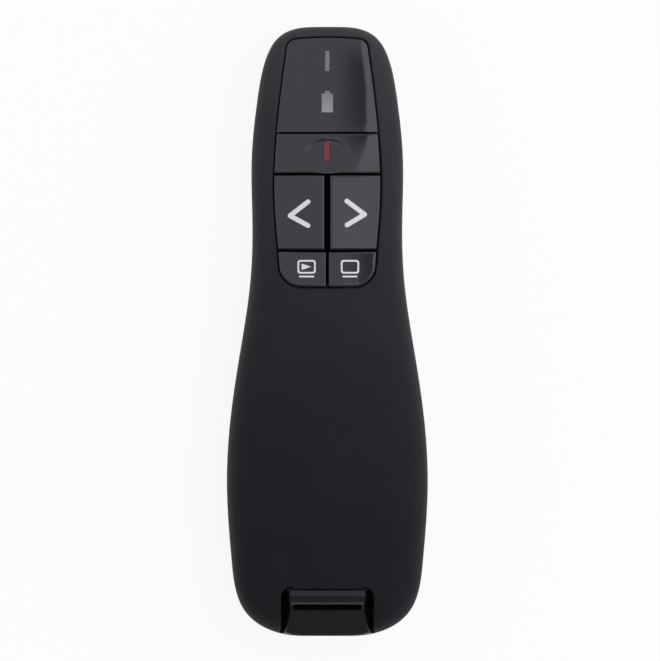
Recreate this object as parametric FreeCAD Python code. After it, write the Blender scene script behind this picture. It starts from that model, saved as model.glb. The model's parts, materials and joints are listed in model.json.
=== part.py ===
import FreeCAD, Part

import math
import os

from FreeCAD import Vector

# A handheld presentation remote, lying on its belly with its nose towards +Y and its keys up.
# The origin is the centre of its underside. All lengths are in millimetres.

# Overall form of the moulded body
length = 115.5
width = 38.0
height = 25.6
seam_height = 13.0
seam_groove_height = 0.15
seam_groove_depth = 0.25
squareness_share = 0.72
belly_squareness_share = 0.76
wall = 1.6

# Control stations of the body, tail first: place along the length, half width, rise above the
# seam and drop below it, as shares of the length, the half width and the heights of the cases
form_shares = [
    (0.0, 0.24, 0.2279, 0.2517),
    (0.0, 0.5, 0.4921, 0.5668),
    (0.03, 0.905, 0.7562, 0.8818),
    (0.125, 0.957, 0.9086, 1.0591),
    (0.25, 1.024, 1.0061, 1.0551),
    (0.37, 0.968, 0.9898, 1.0551),
    (0.47, 0.868, 0.9594, 1.0591),
    (0.57, 0.763, 0.8822, 1.0),
    (0.67, 0.737, 0.8029, 0.8228),
    (0.78, 0.775, 0.7277, 0.6258),
    (0.88, 0.703, 0.6465, 0.5175),
    (0.965, 0.622, 0.5693, 0.4841),
    (1.0, 0.42, 0.4717, 0.4289),
    (1.0, 0.15, 0.1873, 0.2123),
]
surface_degree = 3

# Rings and corners of the flat-sided hollow inside, as shares of the surface's own run
cavity_station_shares = [0.0, 0.045, 0.11, 0.2, 0.31, 0.43, 0.55, 0.67, 0.79, 0.9, 0.965, 1.0]
cavity_chord_shares = [0.0, 1 / 3, 2 / 3]

# How far an edge may stand off the place it is looked for, how much a full round falls short of
# half its groove, and how far a face may turn and still count as an upper face
pick_margin = 0.1
fillet_margin = 0.03
upper_face_share = 0.72

# Key field: the opening in the top case that the window and the keys fill
field_nose_margin = 1.95
field_width_shares = [0.4, 0.5132, 0.5368, 0.5]
window_length = 18.15
laser_key_length = 7.95
page_key_length = 14.45
small_key_length = 7.1
field_bow = 0.45
field_waist_share = 0.68
field_top_corner = 2.0
field_low_corner = 4.4
field_rim_round = 0.35
field_gap = 0.2
key_gap = 0.25
centre_gap = 0.95
low_centre_gap = 0.4
key_proud = 0.15
window_proud = 0.05
key_depth = 2.6
window_depth = 1.8
key_edge_round = 0.4
key_post_radius = 1.2
key_travel = 0.5
dish_radius = 13.0
dish_depth = 0.45

# Light pipes that show in the window
power_mark_width = 0.8
power_mark_length = 3.8
power_mark_margin = 6.55
cell_mark_width = 2.15
cell_mark_length = 3.55
cell_mark_margin = 14.5
cell_mark_cap_width = 1.0
cell_mark_cap_length = 0.5
mark_gap = 0.02

# Main board
board_clearance = 1.65
board_thickness = 1.0
board_edge = 2.15
board_overlap = 1.2
board_key_inset = 1.0
board_shoulder_margin = 18.15
tongue_half_width = 5.5
tongue_margin = 4.25
board_screw_clearance = 3.4
board_screw_margin = 19.35
board_screw_radius = 0.8
board_screw_head_radius = 1.45
board_screw_head_height = 0.9
board_screw_length = 5.0
board_post_radius = 1.7
screw_gap = 0.03
chip_size = 5.0
chip_height = 0.9
chip_offset = 4.4
chip_clearance = 4.5
crystal_length = 3.2
crystal_width = 2.5
crystal_height = 0.8
crystal_clearance = 11.0
antenna_width = 8.0
antenna_track = 0.5
antenna_runs = 4
antenna_thickness = 0.1
antenna_margin = 11.75
led_length = 2.0
led_width = 1.25
led_height = 0.8

# Switches under the keys
switch_half_size = 2.1
switch_height = 1.6
switch_stem_radius = 0.9
switch_stem_rise = 0.6
switch_stem_sink = 0.7
switch_stem_gap = 0.05

# Guide frame that the keys sit in
frame_gap = 0.1
frame_thickness = 0.7
frame_edge = 0.8
frame_tail_inset = 1.2
frame_nose_overlap = 1.15
frame_hole_gap = 0.25
frame_leg = 1.2
frame_leg_inset = 0.9
frame_leg_length = 2.0
frame_rib_width = 0.45
frame_rib_sink = 2.2

# Laser module
laser_clearance = 2.05
laser_barrel_radius = 2.25
laser_bore_radius = 1.6
laser_margin = 14.35
laser_length = 11.0
laser_lens_thickness = 1.2
laser_diode_radius = 1.55
laser_diode_length = 2.4
laser_flange_radius = 2.0
laser_flange_thickness = 0.6
laser_window_radius = 1.85
laser_window_thickness = 1.0
laser_window_sink = 1.3
aperture_radius = 1.4
aperture_flare = 0.4
nose_boss_radius = 2.9
cradle_thickness = 1.2
cradle_half_width = 3.6
cradle_tail_inset = 1.6
cradle_spacing = 6.0
laser_gap = 0.03

# Power slider on the right flank
slider_clearance = 4.9
slider_travel = 2.0
slider_drop = 2.4
slider_half_length = 3.0
slider_half_height = 1.6
slider_recess_gap = 0.4
slider_recess_depth = 1.25
slider_wall = 0.9
slider_neck_half_length = 1.2
slider_neck_half_height = 0.65
slider_gap = 0.15
slider_plate_half_length = 2.6
slider_plate_half_height = 1.2
slider_plate_thickness = 0.8
slider_arm_half_length = 1.4
slider_rib_width = 0.45
slider_rib_pitch = 0.9
slider_rib_count = 5
slider_rib_height = 0.4
slider_sink = 0.35
lever_half_length = 0.6
lever_height = 1.0
lever_root_depth = 1.2
slide_switch_width = 3.6
slide_switch_half_length = 4.3
slide_switch_height = 2.8
slide_switch_lever_drop = 1.0

# Cells and the bay that holds them
cell_radius = 5.2
cell_length = 44.5
cell_nub_radius = 1.9
cell_nub_length = 1.0
cell_offset = 5.45
cell_floor_gap = 0.8
cell_headroom = 0.15
cell_edge_round = 0.6
bay_margin = 11.75
bay_length = 50.6
bay_half_width = 11.0
bay_wall = 1.0
bay_roof_thickness = 0.8
contact_thickness = 0.4
contact_half_width = 4.0
contact_low = 3.4
contact_high = 11.4
contact_tab_width = 2.0
contact_tab_gap = 0.1
spring_wire_radius = 0.3
spring_base_radius = 3.2
spring_tip_radius = 2.2
spring_turns = 3
spring_rings_per_turn = 8
spring_wire_sides = 6

# Battery door on the underside
door_side_overlap = 0.4
door_nose_overlap = 0.4
door_thickness = 1.4
door_lip_height = 5.0
door_side_height = 2.6
door_tail_clearance = 2.0
door_gap = 0.15
door_tongue_width = 0.6
door_tongue_root = 1.0
door_tongue_low = 2.0
door_tongue_thickness = 0.7
door_tongue_tail_inset = 12.0
door_tongue_nose_inset = 19.6
door_travel = 7.0
rail_depth = 2.2
rail_top = 5.3
grip_rib_count = 5
grip_rib_pitch = 1.6
grip_rib_width = 0.7
grip_rib_depth = 0.4
grip_rib_half_length = 5.0
grip_inset = 14.0

# Receiver, its dock and the notch at the tail
notch_half_width = 8.75
notch_length = 9.35
notch_corner = 1.8
notch_rim_round = 0.7
dock_side_gap = 0.3
dock_wall = 0.8
dock_rise = 6.05
receiver_gap = 0.25
receiver_half_width = 7.2
receiver_thickness = 6.2
receiver_split_share = 0.5
receiver_length = 24.4
receiver_edge_round = 0.8
receiver_board_thickness = 1.0
receiver_board_inset = 1.3
receiver_chip_size = 4.0
receiver_chip_height = 0.8
usb_width = 12.0
usb_height = 4.5
usb_wall = 0.3
usb_length = 14.0
usb_root = 2.0
usb_tongue_width = 10.8
usb_tongue_thickness = 1.9
usb_contact_count = 4
usb_contact_pitch = 2.4
usb_contact_width = 1.1
usb_contact_length = 7.5
usb_contact_thickness = 0.1
usb_window_size = 2.0
usb_window_offset = 2.9
usb_window_place = 5.0
cap_base_gap = 0.25
cap_nose_overlap = 0.05
cap_side_gap = 0.3
cap_flare_start = 4.2
cap_ridge_length = 3.1
cap_ridge_sink = 1.7
cap_ridge_drop = 0.5
cap_step = 1.4
cap_tail_rise = 2.0
cap_groove_length = 1.3
cap_groove_half_width = 6.3
cap_groove_depth = 3.2
cap_groove_slant = 32.0
cap_hull_gap = 0.1
cap_edge_round = 1.0

# Case screws
case_screw_radius = 1.0
case_screw_head_radius = 1.75
case_screw_head_height = 1.3
case_screw_hole_gap = 0.1
front_screw_offset = 8.5
front_screw_margin = 13.15
front_screw_seat = 9.3
tail_screw_side = 1.85
tail_screw_margin = 6.15
tail_screw_seat = 7.0
case_screw_reach = 4.4
case_boss_radius = 2.2

# Places that follow from these sizes
half_length = length / 2
half_width = width / 2
field_nose = half_length - field_nose_margin
window_tail = field_nose - window_length
laser_key_tail = window_tail - laser_key_length
page_key_tail = laser_key_tail - page_key_length
field_tail = page_key_tail - small_key_length
field_half_widths = [share * half_width for share in field_width_shares]
page_key_offset = (field_half_widths[2] + centre_gap / 2) / 2
small_key_offset = (field_half_widths[3] + low_centre_gap / 2) / 2
power_mark_place = half_length - power_mark_margin
cell_mark_place = half_length - cell_mark_margin

cell_height = door_thickness + cell_floor_gap + cell_radius
bay_roof = cell_height + cell_radius + cell_headroom
bay_tail = -half_length + bay_margin
bay_nose = bay_tail + bay_length
door_half_width = bay_half_width + bay_wall + door_side_overlap
door_nose = bay_nose + bay_wall + door_nose_overlap
door_tail_rise = bay_tail - door_tail_clearance
door_tongue_tail = bay_tail + door_tongue_tail_inset
door_tongue_nose = bay_nose - door_tongue_nose_inset
grip_place = door_nose - grip_inset

board_underside = bay_roof + bay_roof_thickness + board_clearance
board_half_width = page_key_offset + switch_half_size + board_edge
board_tail = min(bay_nose - board_overlap, field_tail + board_key_inset)
board_shoulder = half_length - board_shoulder_margin
board_top = board_underside + board_thickness
tongue_nose = half_length - tongue_margin
first_board_screw = bay_nose + board_screw_clearance
last_board_screw = half_length - board_screw_margin
board_screw_places = [
    first_board_screw,
    (first_board_screw + last_board_screw) / 2,
    last_board_screw,
]
chip_place = bay_nose + chip_clearance
crystal_place = bay_nose + crystal_clearance
antenna_place = half_length - antenna_margin
switch_top = board_top + switch_height
stem_top = switch_top + switch_stem_rise
frame_half_width = board_half_width + frame_edge
frame_tail = field_tail + frame_tail_inset
frame_nose = window_tail + frame_nose_overlap
laser_height = board_underside - laser_clearance - laser_barrel_radius
laser_tail = half_length - laser_margin
cradle_places = [laser_tail + cradle_tail_inset, laser_tail + cradle_tail_inset + cradle_spacing]
slider_place = bay_nose + slider_clearance
slider_height = seam_height - slider_drop

dock_low = bay_roof + bay_roof_thickness
dock_top = dock_low + dock_rise
dock_half_width = receiver_half_width + dock_side_gap
receiver_low = dock_low + dock_wall + receiver_gap
notch_nose = -half_length + notch_length
receiver_tail = notch_nose - receiver_gap
receiver_front = receiver_tail + receiver_length
plug_tail = receiver_front - usb_root
plug_nose = plug_tail + usb_length
dock_nose = plug_nose + receiver_gap + dock_wall
cap_base = seam_height + cap_base_gap
cap_nose_half_width = receiver_half_width + cap_nose_overlap
cap_tail_half_width = notch_half_width - cap_side_gap
cap_flare_place = notch_nose - cap_flare_start
front_screw_place = half_length - front_screw_margin
tail_screw_offset = notch_half_width + tail_screw_side
tail_screw_place = -half_length + tail_screw_margin


def box(low, high):
    """A block between two opposite corners."""
    return Part.makeBox(high[0] - low[0], high[1] - low[1], high[2] - low[2], Vector(*low))


def rod(radius, span, start, axis=(0, 0, 1)):
    """A round bar that starts at a point and runs along an axis."""
    return Part.makeCylinder(radius, span, Vector(*start), Vector(*axis))


def flank(side, near, far, y_low, y_high, z_low, z_high):
    """A block on one side of the middle plane, given by its distances from that plane."""
    x_low, x_high = sorted((side * near, side * far))
    return box((x_low, y_low, z_low), (x_high, y_high, z_high))


def together(shapes):
    """The shapes as one clean solid."""
    return shapes[0].fuse(shapes[1:]).removeSplitter()


def save(node, *shapes):
    """Writes one STEP file for a node that holds one or more solids."""
    solids = [solid for shape in shapes for solid in shape.Solids]
    kept = solids[0] if len(solids) == 1 else Part.makeCompound(solids)
    kept.exportStep("parts/" + node + ".step")
    print(node, len(solids), round(sum(solid.Volume for solid in solids), 2))


# The sculpted body


def stations(inset):
    """Control rows of the body surface: Y place, half width, rise and drop from the seam."""
    found = []
    for place, wide, up, down in form_shares:
        y = -half_length + inset + place * (length - 2 * inset)
        rise = up * (height - seam_height) - inset
        drop = down * seam_height - inset
        found.append((y, wide * half_width - inset, rise, drop))
    return found


def quarter(rows, side, upper):
    """One quarter of the body surface, from the seam to the middle of the top or the belly."""
    square = squareness_share if upper else belly_squareness_share
    poles = []
    for y, wide, rise, drop in rows:
        tall = rise if upper else -drop
        poles.append(
            [
                Vector(side * wide, y, seam_height),
                Vector(side * wide, y, seam_height + square * tall),
                Vector(side * square * wide, y, seam_height + tall),
                Vector(0, y, seam_height + tall),
            ]
        )
    spans = len(rows) - surface_degree
    end_weight = surface_degree + 1
    surface = Part.BSplineSurface()
    surface.buildFromPolesMultsKnots(
        poles,
        [end_weight] + [1] * (spans - 1) + [end_weight],
        [end_weight, end_weight],
        list(range(spans + 1)),
        [0, 1],
        False,
        False,
        surface_degree,
        surface_degree,
    )
    return surface


def body_form(inset):
    """The closed body, drawn in by inset all round."""
    rows = stations(inset)
    faces = [quarter(rows, side, upper).toShape() for upper in (True, False) for side in (1, -1)]
    for y in (rows[0][0], rows[-1][0]):
        rim = [
            edge
            for face in faces
            for edge in face.Edges
            if abs(edge.BoundBox.YMin - y) < pick_margin and edge.BoundBox.YLength < pick_margin
        ]
        faces.append(Part.Face(Part.Wire(Part.sortEdges(rim)[0])))
    shell = Part.Shell(faces)
    shell.sewShape()
    solid = Part.Solid(shell)
    if solid.Volume < 0:
        solid.reverse()
    return solid


def cavity_form(inset):
    """The hollow inside the cases: flat-sided rings that follow the body at the wall's depth."""
    rows = stations(inset)
    top_surface, belly_surface = quarter(rows, 1, True), quarter(rows, 1, False)
    spans = len(rows) - surface_degree
    rings = []
    for share in cavity_station_shares:
        along = share * spans
        corners = []
        for surface, side, order in (
            (top_surface, 1, 1),
            (top_surface, -1, -1),
            (belly_surface, -1, 1),
            (belly_surface, 1, -1),
        ):
            around = cavity_chord_shares if order > 0 else [1 - s for s in cavity_chord_shares]
            for share_around in around:
                point = surface.value(along, share_around)
                corners.append(Vector(side * point.x, point.y, point.z))
        rings.append(Part.makePolygon(corners + corners[:1]))
    return Part.makeLoft(rings, True, True)


def edges_inside(shape, low, high):
    """Edges that lie in a box and aren't upright, with a margin for those that lie on its sides."""
    found = []
    for edge in shape.Edges:
        bounds = edge.BoundBox
        inside = (
            bounds.XMin > low[0] - pick_margin
            and bounds.YMin > low[1] - pick_margin
            and bounds.ZMin > low[2] - pick_margin
            and bounds.XMax < high[0] + pick_margin
            and bounds.YMax < high[1] + pick_margin
            and bounds.ZMax < high[2] + pick_margin
        )
        if inside and max(bounds.XLength, bounds.YLength) > pick_margin:
            found.append(edge)
    return found


def case_half(form, low, high):
    """The body between two heights, less the shallow groove that both cases have at the seam."""
    groove = box(
        (-width, -length, seam_height - seam_groove_height),
        (width, length, seam_height + seam_groove_height),
    )
    half = form.common(box((-width, -length, low), (width, length, high)))
    return half.cut(groove.cut(body_form(seam_groove_depth)))


def top_at(y, proud=0.0):
    """Height of the body's top on its centre line."""
    surface = quarter(stations(-proud), 1, True)
    crown = surface.vIso(1)
    hit = crown.intersectCC(Part.Line(Vector(0, y, 0), Vector(0, y, height)))
    if hit:
        return hit[0].Z
    foot = crown.parameter(Vector(0, y, height))
    return crown.value(foot).z


# Key field outline


def field_outline(inset):
    """Prism of the key field's plan, drawn in by inset."""
    nose = field_nose - inset
    tail = field_tail + inset
    corner_nose = nose - field_bow
    corner_tail = tail + field_bow / 2
    waist = page_key_tail + field_waist_share * page_key_length
    wide = [reach - inset for reach in field_half_widths]
    right_points = [
        Vector(wide[0], corner_nose, 0),
        Vector(wide[1], window_tail, 0),
        Vector(wide[2], waist, 0),
        Vector(wide[3], page_key_tail, 0),
        Vector(wide[3] - field_bow, corner_tail, 0),
    ]
    left_points = [Vector(-point.x, point.y, 0) for point in reversed(right_points)]
    sides = []
    for points in (right_points, left_points):
        curve = Part.BSplineCurve()
        curve.interpolate(points)
        sides.append(curve.toShape())
    nose_edge = Part.Arc(left_points[-1], Vector(0, nose, 0), right_points[0]).toShape()
    tail_edge = Part.Arc(right_points[-1], Vector(0, tail, 0), left_points[0]).toShape()
    plan = Part.Face(Part.Wire([nose_edge, sides[0], tail_edge, sides[1]]))
    prism = plan.extrude(Vector(0, 0, height + wall))
    posts = [e for e in prism.Edges if e.BoundBox.ZLength > height and abs(e.BoundBox.XMin) > pick_margin]
    nose_posts = [e for e in posts if e.BoundBox.YMin > window_tail]
    tail_posts = [e for e in posts if e.BoundBox.YMin < window_tail]
    prism = prism.makeFillet(field_low_corner - inset, tail_posts)
    nose_posts = [
        e
        for e in prism.Edges
        if e.BoundBox.ZLength > height
        and any(e.CenterOfMass.distanceToPoint(post.CenterOfMass) < pick_margin for post in nose_posts)
    ]
    return prism.makeFillet(field_top_corner - inset, nose_posts)


def wedge(tail, nose, depth):
    """Everything above a slanting floor at a depth under the top, between two Y places."""
    floor_tail = top_at(tail) - depth
    floor_nose = top_at(nose) - depth
    lid = height + wall
    corners = [
        Vector(-half_width, tail, floor_tail),
        Vector(-half_width, nose, floor_nose),
        Vector(-half_width, nose, lid),
        Vector(-half_width, tail, lid),
    ]
    side = Part.Face(Part.makePolygon(corners + corners[:1]))
    return side.extrude(Vector(width, 0, 0))


def round_top(shape, radius):
    """Rounds the rim of a key's upper face."""
    tops = [f for f in shape.Faces if f.Surface.TypeId == "Part::GeomBSplineSurface" and is_upper(f)]
    rim = []
    for face in tops:
        for edge in face.Edges:
            owners = [f for f in tops if any(e.isSame(edge) for e in f.Edges)]
            if len(owners) == 1:
                rim.append(edge)
    return shape.makeFillet(radius, rim)


def is_upper(face):
    low, high, left, right = face.ParameterRange
    normal = face.normalAt((low + high) / 2, (left + right) / 2)
    return abs(normal.z) > upper_face_share


def key_cap(prism, form, x_low, x_high, tail, nose):
    """A key: its plan cut from the field, under the body's own crown, with a rounded rim."""
    block = wedge(tail, nose, key_depth)
    block = block.common(box((x_low, tail, 0), (x_high, nose, height + wall)))
    return round_top(form.common(prism).common(block), key_edge_round)


def key_post(x, y):
    """The post under a key that presses its switch."""
    return rod(key_post_radius, top_at(y) - key_depth + wall / 2 - stem_top, (x, y, stem_top))


def make_keys(prism, form):
    """The five keys and their posts, as a dictionary of name to solid and post place."""
    outer = width
    page_gap, small_gap = centre_gap / 2, low_centre_gap / 2
    mid = key_gap / 2
    low_row = (field_tail - field_bow, page_key_tail - mid)
    page_row = (page_key_tail + mid, laser_key_tail - mid)
    laser_row = (laser_key_tail + mid, window_tail - mid)
    places = {
        "laser_button": (-outer, outer, laser_row, 0.0),
        "previous_button": (-outer, -page_gap, page_row, -page_key_offset),
        "next_button": (page_gap, outer, page_row, page_key_offset),
        "slideshow_button": (-outer, -small_gap, low_row, -small_key_offset),
        "blank_screen_button": (small_gap, outer, low_row, small_key_offset),
    }
    keys = {}
    for name, (x_low, x_high, row, x) in places.items():
        y = (max(row[0], field_tail) + row[1]) / 2
        cap = key_cap(prism, form, x_low, x_high, row[0], row[1])
        if name == "laser_button":
            top = top_at(y, key_proud)
            ball = Part.makeSphere(dish_radius, Vector(x, y, top + dish_radius - dish_depth))
            cap = cap.cut(ball)
        keys[name] = (cap.fuse(key_post(x, y)).removeSplitter(), x, y)
    return keys


def mark_prism(grow):
    """Plan prisms of the two light pipes, power mark and cell mark."""
    lid = height + wall
    floor = board_top + led_height
    half_power, half_cell = power_mark_width / 2 + grow, cell_mark_width / 2 + grow
    half_cap = cell_mark_cap_width / 2 + grow
    power = box(
        (-half_power, power_mark_place - power_mark_length / 2 - grow, floor),
        (half_power, power_mark_place + power_mark_length / 2 + grow, lid),
    )
    cell_nose = cell_mark_place + cell_mark_length / 2
    cell = box(
        (-half_cell, cell_mark_place - cell_mark_length / 2 - grow, floor),
        (half_cell, cell_nose + grow, lid),
    )
    cap = box((-half_cap, cell_nose, floor), (half_cap, cell_nose + cell_mark_cap_length + grow, lid))
    return power, cell.fuse(cap).removeSplitter()


# Cases


def screw(radius, head_radius, head_height, span, x, y, seat, up):
    """A pan-head screw whose head rests on seat and whose shank runs up or down from it."""
    head = rod(head_radius, head_height, (x, y, seat - head_height if up else seat))
    shank = rod(radius, span, (x, y, seat if up else seat - span))
    return head.fuse(shank).removeSplitter()


case_screw_spots = [
    (side * offset, y, seat)
    for offset, y, seat in (
        (front_screw_offset, front_screw_place, front_screw_seat),
        (tail_screw_offset, tail_screw_place, tail_screw_seat),
    )
    for side in (-1, 1)
]


def door_zone(shift):
    """The part of the belly's skin that the battery door takes, grown by shift all round."""
    half = door_half_width + shift
    inner = door_thickness + shift
    sides = box((-half, -length, -wall), (half, door_nose + shift, door_side_height + shift))
    tail = box((-half, -length, -wall), (half, door_tail_rise + shift, door_lip_height + shift))
    room = body_form(inner).common(box((-width, -length, inner), (width, length, height)))
    return sides.fuse(tail).cut(room)


def tongue_box(side, shift):
    """One side tongue of the door, grown by shift all round."""
    return flank(
        side,
        door_half_width - door_tongue_root - shift,
        door_half_width + door_tongue_width + shift,
        door_tongue_tail - shift,
        door_tongue_nose + shift,
        door_tongue_low - shift,
        door_tongue_low + door_tongue_thickness + shift,
    )


def case_ribs():
    """What stands inside the lower shell: bay walls, rails, bosses, cradles and the tail block."""
    bay = box(
        (-bay_half_width - bay_wall, bay_tail - bay_wall, 0),
        (bay_half_width + bay_wall, bay_nose + bay_wall, bay_roof + bay_roof_thickness),
    )
    rail_edge = door_half_width + rail_depth
    rails = [
        flank(side, door_half_width, rail_edge, bay_tail - wall, door_nose + wall, 0, rail_top)
        for side in (-1, 1)
    ]
    tail_block = box((-width, -length, 0), (width, bay_tail - bay_wall / 2, seam_height))
    cross_wall = box((-door_half_width, door_nose, 0), (door_half_width, door_nose + wall, rail_top))
    bosses = [rod(case_boss_radius, seam_height, (x, y, 0)) for x, y, seat in case_screw_spots[:2]]
    nose_boss = laser_rod(nose_boss_radius, laser_tail + laser_length, length)
    cradles = [
        box((-cradle_half_width, y, 0), (cradle_half_width, y + cradle_thickness, laser_height))
        for y in cradle_places
    ]
    reach = slider_half_length + slider_recess_gap + wall / 2
    slider_block = box(
        (slider_back(), slider_place - reach, 0),
        (width, slider_place + slider_travel + reach, seam_height),
    )
    return [bay, tail_block, cross_wall, nose_boss, slider_block] + rails + bosses + cradles


def make_bottom_case(form, cavity):
    """Lower shell with the cell bay, door rails, screw bosses, laser cradle and slider recess."""
    lower = case_half(form, 0, seam_height)
    hollow = cavity.common(box((-width, -length, 0), (width, length, seam_height + wall)))
    case = lower.cut(hollow.cut(case_ribs()))
    outer = bay_half_width + bay_wall
    hood = box(
        (-outer, bay_tail - bay_wall, rail_top - wall),
        (outer, bay_nose + bay_wall, bay_roof + bay_roof_thickness),
    )
    posts = []
    for y in board_screw_places:
        foot = post_foot(y)
        posts.append(rod(board_post_radius, board_underside - foot, (0, y, foot)))
    case = case.fuse([hood] + posts)
    under_bay = box(
        (-door_half_width, bay_tail, -wall),
        (door_half_width, door_nose, door_side_height + door_gap),
    )
    cuts = [
        door_zone(door_gap),
        under_bay,
        tongue_way(-1),
        tongue_way(1),
        box((-bay_half_width, bay_tail, -wall), (bay_half_width, bay_nose, bay_roof)),
    ]
    cuts += [tab_box(side * cell_offset, contact_tab_gap) for side in (-1, 1)]
    pilot = board_screw_radius + screw_gap
    for y in board_screw_places:
        cuts.append(rod(pilot, board_screw_length, (0, y, board_top - board_screw_length)))
    for x, y, seat in case_screw_spots:
        cuts.append(rod(case_screw_radius + case_screw_hole_gap, height, (x, y, 0)))
        cuts.append(rod(case_screw_head_radius + case_screw_hole_gap, seat, (x, y, 0)))
    return case.cut(cuts + laser_cuts() + slider_cuts()).removeSplitter()


def tongue_way(side):
    """The groove that a door tongue runs in, longer than the tongue by the door's travel."""
    bounds = tongue_box(side, door_gap).BoundBox
    return box(
        (bounds.XMin, bounds.YMin - door_travel, bounds.ZMin), (bounds.XMax, bounds.YMax, bounds.ZMax)
    )


def laser_cuts():
    """The bore that the laser module fills, its window's seat and the aperture in the nose."""
    barrel_end = laser_tail + laser_length
    pane_nose = half_length - laser_window_sink
    bore = laser_rod(laser_barrel_radius + laser_gap, laser_tail, laser_length)
    seat = laser_rod(laser_window_radius + laser_gap, barrel_end, pane_nose - barrel_end)
    aperture = laser_rod(aperture_radius, pane_nose, wall + laser_window_sink)
    flare = Part.makeCone(
        aperture_radius,
        aperture_radius + 2 * aperture_flare,
        2 * aperture_flare,
        Vector(0, half_length - aperture_flare, laser_height),
        Vector(0, 1, 0),
    )
    return [bore, seat, aperture, flare]


def post_foot(y):
    """Where a board post starts: inside the belly's wall."""
    belly = quarter(stations(0.0), 1, False).vIso(1)
    return belly.value(belly.parameter(Vector(0, y, 0))).z + wall / 2


def slider_surface():
    """X of the flank beside the power slider."""
    flank = quarter(stations(0.0), 1, False)
    place = slider_place + slider_travel / 2
    u, v = flank.parameter(Vector(half_width, place, slider_height))
    return flank.value(u, v).x


def slider_back():
    """X of the inner face of the wall behind the slider's recess."""
    return slider_surface() - slider_recess_depth - slider_wall


def slider_cuts():
    """The shallow recess for the power slider and the slot that its neck runs in."""
    reach = slider_half_length + slider_recess_gap
    tall = slider_half_height + slider_recess_gap / 2
    recess = box(
        (slider_surface() - slider_recess_depth, slider_place - reach, slider_height - tall),
        (width, slider_place + slider_travel + reach, slider_height + tall),
    )
    ends = [edge for edge in recess.Edges if edge.BoundBox.XLength > wall]
    recess = recess.makeFillet(tall / 2, ends)
    neck = slider_neck_half_length + slider_gap
    neck_tall = slider_neck_half_height + slider_gap
    slot = box(
        (slider_back() - wall, slider_place - neck, slider_height - neck_tall),
        (width, slider_place + slider_travel + neck, slider_height + neck_tall),
    )
    return [recess, slot]


def make_top_case(form, cavity, field):
    """Upper shell with the key field opening, the receiver notch and the screw bosses."""
    upper = form.common(box((-width, -length, seam_height), (width, length, height + wall)))
    bosses = [rod(case_boss_radius, height, (x, y, seam_height)) for x, y, seat in case_screw_spots]
    cheek_edge = notch_half_width + wall
    cheeks = [
        flank(side, notch_half_width, cheek_edge, -length, notch_nose, seam_height, height)
        for side in (-1, 1)
    ]
    hollow = cavity.common(box((-width, -length, seam_height - wall), (width, length, height)))
    notch = box(
        (-notch_half_width, -length, seam_height - wall), (notch_half_width, notch_nose, height + wall)
    )
    corners = [e for e in notch.Edges if e.BoundBox.ZLength > wall and e.BoundBox.YMin > -half_length]
    upper = upper.cut([field, notch.makeFillet(notch_corner, corners)])
    reach = max(field_half_widths)
    rim_foot = seam_height + wall
    rim = edges_inside(upper, (-reach, field_tail, rim_foot), (reach, field_nose, height))
    upper = upper.makeFillet(field_rim_round, rim)
    rim = [
        edge
        for edge in edges_inside(
            upper, (-notch_half_width, -length, seam_height), (notch_half_width, notch_nose, height)
        )
        if edge.BoundBox.ZMax > rim_foot
    ]
    upper = upper.makeFillet(notch_rim_round, rim)
    upper = case_half(upper, seam_height, height + wall)
    cuts = [hollow.cut(bosses + cheeks)]
    pilot = case_screw_radius + screw_gap
    for x, y, seat in case_screw_spots:
        cuts.append(rod(pilot, case_screw_reach + wall / 2, (x, y, seam_height)))
    cuts.append(dock_mouth())
    return upper.cut(cuts + laser_cuts()).removeSplitter()


def dock_mouth():
    """The way through the notch's inner end for the receiver."""
    reach = receiver_half_width + receiver_gap
    return box(
        (-reach, notch_nose - wall, seam_height),
        (reach, notch_nose + 2 * wall, receiver_low + receiver_thickness + receiver_gap),
    )


# Battery door


def make_battery_door(form):
    """Sliding cover of the cell bay: part of the belly with side tongues and thumb ribs."""
    door = form.common(door_zone(0.0))
    for side in (-1, 1):
        lip = flank(
            side,
            door_half_width - door_tongue_root,
            door_half_width,
            door_tongue_tail,
            door_tongue_nose,
            0,
            door_side_height,
        )
        door = door.fuse([lip.common(form), tongue_box(side, 0.0)])
    grooves = []
    for number in range(grip_rib_count):
        y = grip_place + number * grip_rib_pitch
        groove = box(
            (-grip_rib_half_length, y, -wall),
            (grip_rib_half_length, y + grip_rib_width, grip_rib_depth),
        )
        ends = [edge for edge in groove.Edges if edge.BoundBox.ZLength > wall]
        grooves.append(groove.makeFillet(grip_rib_width / 2 - fillet_margin, ends))
    return door.cut(grooves).removeSplitter()


# Cells and contacts


def make_cell(x, tail, nub_to_nose):
    """One cell: a can with rolled edges and its positive nub."""
    can_length = cell_length - cell_nub_length
    can_tail = tail if nub_to_nose else tail + cell_nub_length
    can = rod(cell_radius, can_length, (x, can_tail, cell_height), (0, 1, 0))
    can = can.makeChamfer(cell_edge_round, [e for e in can.Edges if e.BoundBox.YLength < pick_margin])
    nub_tail = can_tail + can_length if nub_to_nose else tail
    nub = rod(cell_nub_radius, cell_nub_length, (x, nub_tail, cell_height), (0, 1, 0))
    return can.fuse(nub).removeSplitter()


def make_spring(x, base, way, reach):
    """A conical coil of six-sided wire from its plate at base to the cell."""
    free = reach - 2 * spring_wire_radius
    rings = []
    steps = spring_turns * spring_rings_per_turn
    for step in range(steps + 1):
        share = step / steps
        angle = 2 * math.pi * spring_turns * share
        radius = spring_base_radius + (spring_tip_radius - spring_base_radius) * share
        centre_y = base + way * (spring_wire_radius + free * share)
        corners = []
        for corner in range(spring_wire_sides):
            turn = 2 * math.pi * corner / spring_wire_sides
            out = radius + spring_wire_radius * math.cos(turn)
            corners.append(
                Vector(
                    x + out * math.cos(angle),
                    centre_y + spring_wire_radius * math.sin(turn),
                    cell_height + out * math.sin(angle),
                )
            )
        rings.append(Part.makePolygon(corners + corners[:1]))
    return Part.makeLoft(rings, True, True)


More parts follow.
